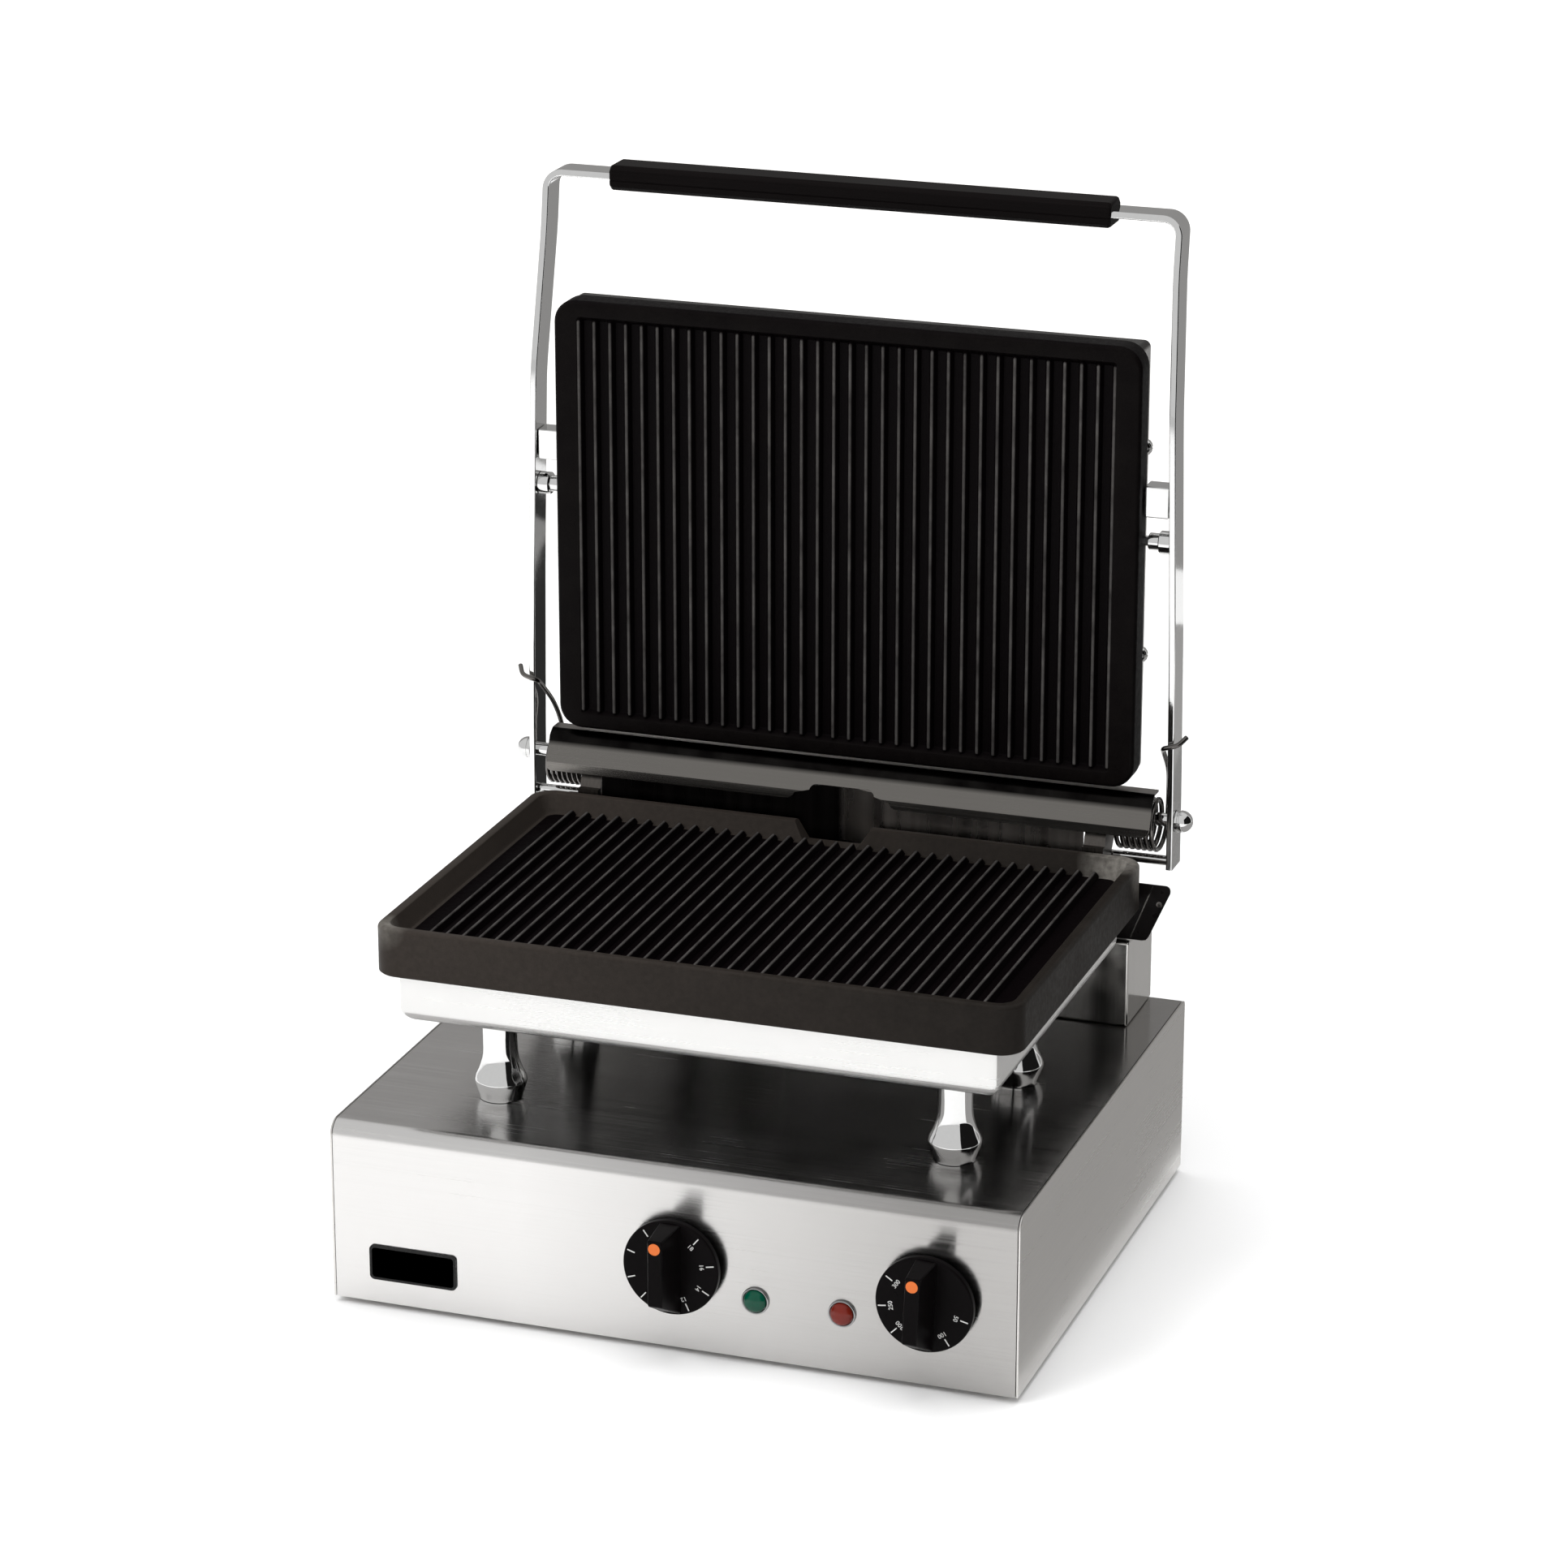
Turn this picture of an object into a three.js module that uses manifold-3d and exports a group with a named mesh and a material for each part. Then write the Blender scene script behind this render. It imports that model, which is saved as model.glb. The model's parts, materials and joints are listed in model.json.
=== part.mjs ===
// Panini press: a free-standing contact grill with a ribbed cast-iron plate on four turned
// pillars and a hinged upper plate carried by a bent flat-bar handle.
// Units are millimetres, +Z up, +X to the right of someone standing at the controls, +Y to the back.
// Inside DESK the front panel is the plane y = 0; DESK is then moved so that the origin
// lies under the middle of the whole object.
import * as THREE from 'three';
import { mergeVertices } from 'three/addons/utils/BufferGeometryUtils.js';
import Module from 'manifold-3d';

const wasm = await Module();
wasm.setup();

// ---------------------------------------------------------------- driving dimensions
const GAP = 0.3;                       // clearance between pieces that touch
const SHEET = 1.2;                     // stainless sheet thickness
const CENTRE_Y = 160;                  // middle of the object's depth, from the front panel

const BASE = { w: 410, d: 343, z0: 4, z1: 112, bend: 9.5, rearBend: 3 };
const FOOT = { r: 14, x: 175, yFront: 30, yRear: 313 };
const PILLAR = { x: [-127.4, 146], y: [68, 188], z1: 160.7, foot: 12.6, shoulder: 15.4, neck: 9.9 };
const PEDESTAL = { x: 184, y0: 288, y1: 341.5, z1: 165.7 };
const CASING = { x: 178.3, y0: 40.8, y1: 284, z0: 161, z1: 190.1, round: 9 };
const PLATE = { x: 192, y0: 34.5, y1: 290.6, z0: 190.4, z1: 219.5, floor: 208, corner: 14, rim: 7 };
const RIB = { pitch: 10, count: 34, crest: 2.4, root: 5, height: 4 };
const NOTCH = { top: 24, bottom: 16.5, z: 207.4 };

const HINGE = { y: 314, z: 236, shaft: 4 };
const BRACKET = { x0: 153, x1: 166, z0: 203.3 };
const COVER = { x0: -187.5, x1: 193.2, yRear: 313.5, top: 254.4, bend: 20.7, crease: 235.7, low: 230 };
const COVER_NOTCH = { x: 2.3, top: 20.5, bottom: 29, z: 240, corner: 4.5 };
const CHUTE = { fold: 305.3, sheet: 296.2, mouth: 26, wing: 150, z0: 203, z1: 238 };
const SPRING = { wire: 1.3, r: 15, sag: 3.5, left: [167.6, 190.5], right: [169.5, 194.8], turns: 7 };
const TRAY = { half: 170, bottom: 193.5, top: 207, y0: 292.8, y1: 338, z0: 166, z1: 202 };

// The bow's sides draw in towards the top: [height, half width outside].
const BOW_SIDES = [[207.2, 204.2], [250, 204], [350, 202.6], [470, 199.7], [560, 196.2]];
const BOW = { y: 316, t: 4, w: 19, top: 596.4, corner: 12, bendZ: 475, lean: 0.147 };
const GRIP = { x: 153.7, w: 23, h: 15, z: 594 };
const CROSS_ROD = { r: 3, z: 210.5 };

const PLATEN = { x: 181, z0: 257.3, z1: 524, y: 298.5, t: 17, corner: 14, margin: 9, pocket: 6 };
const PLATEN_CASE = { x: 177, inset: 3, y1: 334, corner: 4 };
const TILT = { y: 315.6, z: 405.6, stopZ: 431 };
const CASE_SCREW = { y: 325, z: [333, 459] };

const KNOB = { r: 28.3, back: -4, skirt: -9.3, front: -34, hub: 20, z: 56 };
const TIMER = { x: 4.5, turned: 0 };
const THERMOSTAT = { x: 153, turned: 2.5 };
const LAMP = { x: [52, 103], z: 40, r: 6.7 };
const BADGE = { x0: -182, x1: -128.5, z0: 18.4, z1: 39.8 };
const GLAND = { x: 120, z: 34, rear: 354 };

// ---------------------------------------------------------------- materials
const finish = (color, roughness, metalness) =>
  new THREE.MeshStandardMaterial({ color, roughness, metalness });
const STEEL = finish(0xc9c7c3, 0.32, 1);
const POLISHED = finish(0xd8d6d2, 0.12, 1);
const DARK_STEEL = finish(0x6b6760, 0.3, 1);
const CAST_IRON = finish(0x2b2825, 0.6, 0.6);
const CHROME = finish(0xe4e4e4, 0.06, 1);
const BLACK_ENAMEL = finish(0x141312, 0.25, 0.1);
const BLACK_PLASTIC = finish(0x111111, 0.3, 0);
const RUBBER = finish(0x1c1c1c, 0.9, 0);
const ELEMENT = finish(0x4a4642, 0.5, 0.8);
const FIBRE = finish(0xd9d2c2, 0.95, 0);
const CERAMIC = finish(0xece7dc, 0.5, 0);
const GREEN_LENS = finish(0x1ea54a, 0.15, 0);
const RED_LENS = finish(0xc5281c, 0.15, 0);

const desk = new THREE.Group();
desk.position.y = -CENTRE_Y;

// ---------------------------------------------------------------- helpers
function add(name, geometry, material) {
  const mesh = new THREE.Mesh(geometry, material);
  mesh.name = name;
  desk.add(mesh);
  return mesh;
}

function toSolid(geometry) {
  const bare = geometry.clone();
  bare.deleteAttribute('normal');
  bare.deleteAttribute('uv');
  const merged = mergeVertices(bare, 1e-4);
  return new wasm.Manifold(new wasm.Mesh({
    numProp: 3,
    vertProperties: new Float32Array(merged.attributes.position.array),
    triVerts: new Uint32Array(merged.index.array),
  }));
}

function toGeometry(solid) {
  const mesh = solid.getMesh();
  const geometry = new THREE.BufferGeometry();
  geometry.setAttribute('position', new THREE.BufferAttribute(mesh.vertProperties, mesh.numProp));
  geometry.setIndex(new THREE.BufferAttribute(mesh.triVerts, 1));
  geometry.computeVertexNormals();
  return geometry;
}

const cut = (body, ...tools) =>
  toGeometry(tools.reduce((solid, tool) => solid.subtract(toSolid(tool)), toSolid(body)));
const join = (...bodies) =>
  toGeometry(bodies.slice(1).reduce((solid, body) => solid.add(toSolid(body)), toSolid(bodies[0])));

function block(x0, x1, y0, y1, z0, z1) {
  return new THREE.BoxGeometry(x1 - x0, y1 - y0, z1 - z0)
    .translate((x0 + x1) / 2, (y0 + y1) / 2, (z0 + z1) / 2);
}

// The same body with its faces turned outwards.
function outward(geometry) {
  const p = geometry.attributes.position;
  const index = geometry.index.array;
  const [a, b, c] = [new THREE.Vector3(), new THREE.Vector3(), new THREE.Vector3()];
  let volume = 0;
  for (let i = 0; i < index.length; i += 3) {
    a.fromBufferAttribute(p, index[i]);
    b.fromBufferAttribute(p, index[i + 1]);
    c.fromBufferAttribute(p, index[i + 2]);
    volume += a.dot(b.cross(c));
  }
  if (volume < 0) geometry.setIndex(Array.from(index).reverse());
  return geometry;
}

// A turned body: profile points are [radius, distance along the axis] from `at`.
function turned(profile, axis, at, segments = 24) {
  const geometry = new THREE.LatheGeometry(profile.map(([r, h]) => new THREE.Vector2(r, h)), segments);
  if (axis === 'x') geometry.rotateZ(-Math.PI / 2);
  if (axis === '-x') geometry.rotateZ(Math.PI / 2);
  if (axis === 'z') geometry.rotateX(Math.PI / 2);
  if (axis === '-y') geometry.rotateX(Math.PI);
  return outward(geometry).translate(...at);
}

const rod = (radius, length, axis, at, segments = 16) =>
  turned([[0, 0], [radius, 0], [radius, length], [0, length]], axis, at, segments);

function shapeOf(points) {
  return new THREE.Shape(points.map(([x, y]) => new THREE.Vector2(x, y)));
}

// An outline of [y, z] points made thick along X, from x0 to x1.
function alongX(points, x0, x1) {
  const geometry = new THREE.ExtrudeGeometry(shapeOf(points), { depth: x1 - x0, bevelEnabled: false });
  // shape x -> world y, shape y -> world z, depth -> world x
  geometry.applyMatrix4(new THREE.Matrix4().makeBasis(
    new THREE.Vector3(0, 1, 0), new THREE.Vector3(0, 0, 1), new THREE.Vector3(1, 0, 0)));
  return geometry.translate(x0, 0, 0);
}

// An outline of [x, z] points made thick along Y, from y0 to y1.
function alongY(points, y0, y1) {
  const geometry = new THREE.ExtrudeGeometry(shapeOf(points), { depth: y1 - y0, bevelEnabled: false });
  // depth runs towards -y, so the outline keeps its sense
  geometry.rotateX(Math.PI / 2);
  return geometry.translate(0, y1, 0);
}

// Points of a circular arc, angles in degrees.
function arc(cx, cy, r, from, to, steps) {
  return Array.from({ length: steps + 1 }, (_, i) => {
    const a = THREE.MathUtils.degToRad(from + ((to - from) * i) / steps);
    return [cx + r * Math.cos(a), cy + r * Math.sin(a)];
  });
}

function roundedRect(x0, x1, y0, y1, r, steps = 4) {
  return [
    ...arc(x1 - r, y0 + r, r, -90, 0, steps),
    ...arc(x1 - r, y1 - r, r, 0, 90, steps),
    ...arc(x0 + r, y1 - r, r, 90, 180, steps),
    ...arc(x0 + r, y0 + r, r, 180, 270, steps),
  ];
}

// A solid through equal rings of [x, y, z] points, closed flat at both ends.
function loft(rings) {
  const n = rings[0].length;
  const positions = rings.flat(2);
  const index = [];
  for (let k = 0; k + 1 < rings.length; k++) {
    for (let i = 0; i < n; i++) {
      const a = k * n + i;
      const b = k * n + ((i + 1) % n);
      index.push(a, b, a + n, b, b + n, a + n);
    }
  }
  for (let i = 1; i + 1 < n; i++) {
    const top = (rings.length - 1) * n;
    index.push(0, i + 1, i, top, top + i, top + i + 1);
  }
  const geometry = new THREE.BufferGeometry();
  geometry.setAttribute('position', new THREE.Float32BufferAttribute(positions, 3));
  geometry.setIndex(index);
  return outward(geometry);
}

const mirrored = (make) => {
  make('left', -1);
  make('right', 1);
};

// ---------------------------------------------------------------- base housing
function baseSideOutline(inset) {
  const { d, z0, z1, bend, rearBend } = BASE;
  return [
    [inset, z0],
    ...arc(bend, z1 - bend, bend - inset, 180, 90, 6),
    ...arc(d - rearBend, z1 - rearBend, rearBend - inset, 90, 0, 2),
    [d - inset, z0],
  ];
}

function buildBase() {
  const half = BASE.w / 2;
  const wrapX = half - SHEET - GAP;
  const wrap = alongX([...baseSideOutline(0), ...baseSideOutline(SHEET).reverse()], -wrapX, wrapX);
  const through = [
    rod(4, 12, '-y', [TIMER.x, 6, KNOB.z]),
    rod(4, 12, '-y', [THERMOSTAT.x, 6, KNOB.z]),
    ...LAMP.x.map((x) => rod(5.2, 12, '-y', [x, 6, LAMP.z])),
    rod(9.4, 12, '-y', [GLAND.x, BASE.d + 6, GLAND.z]),
    block(-30, 30, PEDESTAL.y0 + 14, PEDESTAL.y1 - 14, BASE.z1 - 6, BASE.z1 + 6),
  ];
  add('housing_wrap', cut(wrap, ...through), STEEL);

  mirrored((side, s) => {
    const x = s > 0 ? half - SHEET : -half;
    add(`side_panel_${side}`, alongX(baseSideOutline(0), x, x + SHEET), STEEL);
  });

  const plate = block(-wrapX, wrapX, SHEET + GAP, BASE.d - SHEET - GAP, BASE.z0, BASE.z0 + SHEET);
  const slots = Array.from({ length: 7 }, (_, i) =>
    block(-72 + i * 24 - 3, -72 + i * 24 + 3, 150, 200, BASE.z0 - 5, BASE.z0 + 5));
  add('bottom_plate', cut(plate, ...slots), STEEL);

  for (const [row, y] of [['front', FOOT.yFront], ['rear', FOOT.yRear]]) {
    mirrored((side, s) => {
      const top = BASE.z0 - GAP;
      const profile = [[0, 0], [FOOT.r - 2, 0], [FOOT.r, top], [0, top]];
      add(`foot_${row}_${side}`, turned(profile, 'z', [s * FOOT.x, y, 0], 20), RUBBER);
    });
  }
}

// ---------------------------------------------------------------- controls on the front panel
function buildControls() {
  const controls = [['timer', TIMER, 46, 34], ['thermostat', THERMOSTAT, 40, 28]];
  for (const [name, { x, turned: angle }, size, depth] of controls) {
    const back = SHEET + GAP;
    const unit = block(x - size / 2, x + size / 2, back, back + depth, KNOB.z - size / 2, KNOB.z + size / 2);
    add(`${name}_unit`, cut(unit, rod(3.4, 20, '-y', [x, 18, KNOB.z])), FIBRE);
    add(`${name}_shaft`, rod(3, 34, '-y', [x, 17.5, KNOB.z]), CHROME);
    const knob = knobGeometry().rotateY(THREE.MathUtils.degToRad(angle)).translate(x, 0, KNOB.z);
    add(`${name}_knob`, knob, BLACK_PLASTIC);
  }
  const lamps = [['green', GREEN_LENS], ['red', RED_LENS]];
  lamps.forEach(([name, lens], i) => {
    const at = [LAMP.x[i], 0, LAMP.z];
    const ring = [[LAMP.r + 1.4, GAP], [LAMP.r + 1.4, 1.2], [LAMP.r + 0.4, 2], [LAMP.r + 0.2, 2],
      [LAMP.r + 0.2, GAP], [LAMP.r + 1.4, GAP]];
    add(`${name}_lamp_bezel`, turned(ring, '-y', at, 24), CHROME);
    const dome = arc(0, 0, 1, 0, 90, 5).map(([c, s]) => [(LAMP.r - 0.1) * c, 1.4 + 4.2 * s]);
    dome[dome.length - 1][0] = 0;
    add(`${name}_lamp_lens`, turned([[0, -14], [4.8, -14], [4.8, GAP], [LAMP.r - 0.1, GAP], ...dome],
      '-y', at, 24), lens);
  });
  const badge = alongY(roundedRect(BADGE.x0, BADGE.x1, BADGE.z0, BADGE.z1, 3), -1.2, -GAP);
  add('badge_plate', badge, BLACK_PLASTIC);
}

// A skirt with a tall tapered grip bar across it, bored for its shaft; its axis is y through 0.
function knobGeometry() {
  const { r, back, skirt, front, hub } = KNOB;
  const bevel = 1.6;
  const disc = turned([[0, 1], [hub, 1], [hub, -back], [r, -back], [r, -skirt - bevel],
    [r - bevel, -skirt], [0, -skirt]], '-y', [0, 0, 0], 36);
  const ring = (y, halfWidth, up, down) => [
    [-halfWidth, y, -down], [halfWidth, y, -down], [halfWidth, y, up], [-halfWidth, y, up],
  ];
  const bar = loft([
    ring(front, 3.7, 25.7, 12.2), ring(front + 1, 4.3, 26.4, 13.4), ring(skirt + 1, 6.2, r - 1, r - 1),
  ]);
  return cut(join(disc, bar), rod(3.3, 18, '-y', [0, 0, 0]));
}

// ---------------------------------------------------------------- wiring inside the base
function buildWiring() {
  add('terminal_block', block(88, 148, 268, 288, BASE.z0 + 2, BASE.z0 + 22), CERAMIC);
  const profile = [[0, 0], [9, 0], [9, 14], [13, 14 + GAP], [13, 20], [10, 22],
    [7, GLAND.rear - BASE.d + 14], [0, GLAND.rear - BASE.d + 14]];
  add('cable_gland', turned(profile, 'y', [GLAND.x, BASE.d - 14, GLAND.z], 20), BLACK_PLASTIC);
}

// ---------------------------------------------------------------- pillars and pedestal
function buildStand() {
  const { foot, shoulder, neck } = PILLAR;
  const height = PILLAR.z1 - BASE.z1 - GAP;
  const flare = Array.from({ length: 6 }, (_, i) => {
    const t = i / 5;
    return [neck + 0.6 + (shoulder - neck - 0.6) * (1 - t) ** 2, 12.5 + 16 * t];
  });
  const profile = [[0, 0], [foot, 0], [shoulder - 0.6, 8.5], [shoulder, 10.5], ...flare,
    [neck, height], [0, height]];
  PILLAR.y.forEach((y, row) => {
    PILLAR.x.forEach((x, side) => {
      const name = `pillar_${row ? 'rear' : 'front'}_${side ? 'right' : 'left'}`;
      add(name, turned(profile, 'z', [x, y, BASE.z1 + GAP], 24), CHROME);
    });
  });

  const { x, y0, y1, z1 } = PEDESTAL;
  const z0 = BASE.z1 + GAP;
  add('pedestal', cut(block(-x, x, y0, y1, z0, z1),
    block(-x + SHEET, x - SHEET, y0 + SHEET, y1 - SHEET, z0 - 2, z1 - SHEET)), POLISHED);
}

// ---------------------------------------------------------------- lower plate and its casing
// Rings of a pan that stands on its rounded bottom edge.
function panRings(x, y0, y1, z0, z1, round, corner) {
  const ring = (inset, z) =>
    roundedRect(-x + inset, x - inset, y0 + inset, y1 - inset, corner, 3).map(([px, py]) => [px, py, z]);
  const rings = arc(0, 0, round, 270, 360, 3).map(([c, s]) => ring(round - c, z0 + round + s));
  return [...rings, ring(0, z1)];
}

function serpentine(x0, x1, y0, y1, runs) {
  const pitch = (y1 - y0) / (runs - 1);
  const r = pitch / 2;
  const points = [];
  for (let i = 0; i < runs; i++) {
    const y = y0 + i * pitch;
    const right = i % 2 === 0;
    const ends = right ? [x0 + r, x1 - r] : [x1 - r, x0 + r];
    points.push([ends[0], y], [ends[1], y]);
    if (i + 1 < runs) {
      points.push(...arc(ends[1], y + r, r, -90, right ? 90 : -270, 6).slice(1, -1));
    }
  }
  return points;
}

// The rod of a heating element, swept corner by corner so that every bend keeps its section.
function elementRod(points, toWorld, radius = 3.2, sides = 8) {
  const at = points.map(([u, v]) => toWorld(u, v, 0));
  const up = toWorld(0, 0, 1).sub(toWorld(0, 0, 0)).normalize();
  const rings = at.map((p, i) => {
    const before = i ? p.clone().sub(at[i - 1]).normalize() : null;
    const after = i + 1 < at.length ? at[i + 1].clone().sub(p).normalize() : null;
    const along = (before && after ? before.clone().add(after) : before ?? after).normalize();
    const across = new THREE.Vector3().crossVectors(along, up).normalize();
    const stretch = 1 / Math.max(0.5, along.dot(after ?? before));
    return arc(0, 0, radius, 0, 360 - 360 / sides, sides - 1).map(([c, s]) =>
      p.clone().addScaledVector(across, c * stretch).addScaledVector(up, s).toArray());
  });
  return loft(rings);
}

function buildLowerPlate() {
  const { x, y0, y1, z0, z1, floor, corner, rim } = PLATE;
  const ring = (inset, z) =>
    roundedRect(-x + inset, x - inset, y0 + inset, y1 - inset, Math.max(3, corner - inset * 0.6), 4)
      .map(([px, py]) => [px, py, z]);
  const outer = loft([ring(0, z0), ring(0, z1 - 1), ring(1, z1)]);
  const pocket = loft([ring(rim + 4, floor), ring(rim, z1 + 1)]);
  const ribs = Array.from({ length: RIB.count }, (_, i) => {
    const cx = (i - (RIB.count - 1) / 2) * RIB.pitch;
    const front = y0 + rim + 1;
    const back = y1 - rim - 1;
    const section = (y) => [
      [cx - RIB.root / 2, y, floor - 1], [cx + RIB.root / 2, y, floor - 1],
      [cx + RIB.crest / 2, y, floor + RIB.height], [cx - RIB.crest / 2, y, floor + RIB.height],
    ];
    return loft([section(front), section(back)]);
  });
  const notch = alongY([[-NOTCH.bottom, NOTCH.z], [NOTCH.bottom, NOTCH.z],
    [NOTCH.top, z1 + 0.1], [NOTCH.top, z1 + 5], [-NOTCH.top, z1 + 5], [-NOTCH.top, z1 + 0.1]],
    y1 - rim - 6, y1 + 5);
  const under = loft([ring(26, z0 - 2), ring(28, floor - 8)]);
  const pan = toSolid(outer).subtract(toSolid(pocket)).subtract(toSolid(under));
  const ribbed = ribs.reduce((solid, rib) => solid.add(toSolid(rib)), pan);
  add('lower_plate', toGeometry(ribbed.subtract(toSolid(notch))), CAST_IRON);

  const { x: cx, y0: cy0, y1: cy1, z0: cz0, z1: cz1, round } = CASING;
  const shell = loft(panRings(cx, cy0, cy1, cz0, cz1, round, 3));
  const hollow = loft(panRings(cx - SHEET, cy0 + SHEET, cy1 - SHEET, cz0 + SHEET, cz1 + 4, round - SHEET, 2));
  add('lower_casing', cut(shell, hollow), STEEL);

  const elementZ = floor - 8 - 3.2 - GAP;
  add('lower_heating_element',
    elementRod(serpentine(-155, 155, 72, 253, 6), (u, v, w) => new THREE.Vector3(u, v, elementZ + w)),
    ELEMENT);
  add('lower_insulation_board', block(-150, 150, 64, 262, 176, 188), FIBRE);
  add('thermostat_bulb', rod(3, 70, 'x', [-35, 162.5, elementZ - 0.2], 12), CHROME);
}

// ---------------------------------------------------------------- hinge
function buildHinge() {
  const { y, z, shaft } = HINGE;
  const outerFace = bowHalfWidth(z);
  const reach = outerFace + 5;
  add('hinge_shaft', rod(shaft, 2 * reach, 'x', [-reach, y, z]), CHROME);

  mirrored((side, s) => {
    const front = PLATE.y1 + GAP;
    const ear = [[front, BRACKET.z0], [303, BRACKET.z0], ...arc(y, z, 10, -20, 160, 8), [296.5, 226],
      [295.2, 221.5], [front, 221.5]];
    const lug = alongX(ear, BRACKET.x0, BRACKET.x1);
    const bored = cut(lug, rod(shaft + GAP, 30, 'x', [BRACKET.x0 - 10, y, z]));
    if (s < 0) bored.applyMatrix4(new THREE.Matrix4().makeTranslation(-BRACKET.x0 - BRACKET.x1, 0, 0));
    add(`hinge_bracket_${side}`, bored, STEEL);

    const nut = { r: 6.7, rim: 3.4 };
    const dome = arc(nut.rim, 0, nut.r, 0, 80, 5).map(([h, r]) => [r, h]).reverse();
    const bore = reach - outerFace + 0.8;
    const profile = [[0, bore], [shaft + GAP, bore], [shaft + GAP, GAP], [nut.r, GAP],
      ...dome, [0, nut.rim + nut.r]];
    add(`cap_nut_${side}`, turned(profile, s > 0 ? 'x' : '-x', [s * outerFace, y, z], 20), CHROME);
  });
  buildCover();
  buildChute();
}

// Folded sheet over the shaft and springs: narrow top, sloping front, short lip below a crease.
function buildCover() {
  const { y, z } = HINGE;
  const { x0, x1, yRear, top, bend, crease, low } = COVER;
  const shoulder = (r) => arc(y, z, r, 117, 135, 3);
  const outside = [[yRear, top], ...shoulder(bend), [293.8, crease], [293.4, low]];
  const inside = [[yRear, top - SHEET], ...shoulder(bend - SHEET), [293.8 + SHEET, crease],
    [293.4 + SHEET, low]];
  const sheet = alongX([...outside, ...inside.reverse()], x0, x1);
  const { x, top: wide, bottom, z: zTop, corner } = COVER_NOTCH;
  const right = [[bottom + 1, low - 3], [bottom, low - 0.2], ...arc(wide - corner, zTop - corner, corner, 0, 90, 4)];
  const opening = alongY([...right, ...right.map(([u, v]) => [-u, v]).reverse()], 286, 306).translate(x, 0, 0);
  add('hinge_cover', cut(sheet, opening), DARK_STEEL);
}

// Sheet behind the plate that drops grease from the notch into the tray: two wings folded
// back to a crease in the middle, and a flat run to either side.
function buildChute() {
  const { fold, sheet, mouth, wing, z0, z1 } = CHUTE;
  const front = [[-wing, sheet], [-mouth, sheet], [0, fold], [mouth, sheet], [wing, sheet]];
  const back = front.map(([x, y]) => [x, y + SHEET]).reverse();
  const folded = new THREE.ExtrudeGeometry(shapeOf([...front, ...back]), { depth: z1 - z0, bevelEnabled: false });
  add('grease_chute', folded.translate(0, 0, z0), POLISHED);
}

// ---------------------------------------------------------------- grease tray on the pedestal
// A narrow pan behind a wider front sheet whose slanted ends serve as finger tabs.
function buildTray() {
  const { half, bottom, top, y0, y1, z0, z1 } = TRAY;
  const section = (inset, z) =>
    roundedRect(-half + inset, half - inset, y0 + inset, y1 - inset, 4, 2).map(([x, y]) => [x, y, z]);
  const body = loft([section(0, z0), section(0, z1)]);
  const hollow = loft([section(SHEET, z0 + SHEET), section(SHEET, z1 + 4)]);
  const right = [[bottom - 3, z0 + 0.3], [bottom + 1, z0 + 3], [top, z1 - 4.5],
    ...arc(top - 3, z1 - 3, 3, 0, 90, 3)];
  const front = alongY([...right, ...right.map(([x, z]) => [-x, z]).reverse()], y0, y0 + SHEET);
  const pan = toSolid(body).add(toSolid(front)).subtract(toSolid(hollow));
  add('grease_tray', toGeometry(pan), BLACK_ENAMEL);
}

// ---------------------------------------------------------------- lid: handle bow and its fittings
// How far the bow leans back at height z.
function leanAt(z) {
  const blend = 12;
  const above = z - BOW.bendZ;
  if (above <= -blend) return 0;
  if (above >= blend) return above * BOW.lean;
  return (BOW.lean * (above + blend) ** 2) / (4 * blend);
}

function bowHalfWidth(z) {
  const last = BOW_SIDES.length - 1;
  const k = BOW_SIDES.findIndex(([height], i) => i === last || z <= BOW_SIDES[i + 1][0]);
  if (k === last) return BOW_SIDES[last][1];
  const [[z0, w0], [z1, w1]] = [BOW_SIDES[k], BOW_SIDES[k + 1]];
  return w0 + ((w1 - w0) * Math.max(0, z - z0)) / (z1 - z0);
}

function bowOutline(inset) {
  const top = BOW.top - inset;
  const r = BOW.corner - inset;
  const levels = [...BOW_SIDES.map(([z]) => z), 463, 475, 487].sort((a, b) => a - b);
  const side = levels.map((z) => [bowHalfWidth(z) - inset, z]);
  const x = bowHalfWidth(top) - inset;
  return [
    ...side,
    ...arc(x - r, top - r, r, 0, 90, 6),
    ...arc(-x + r, top - r, r, 90, 180, 6),
    ...side.map(([u, z]) => [-u, z]).reverse(),
  ];
}

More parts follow.
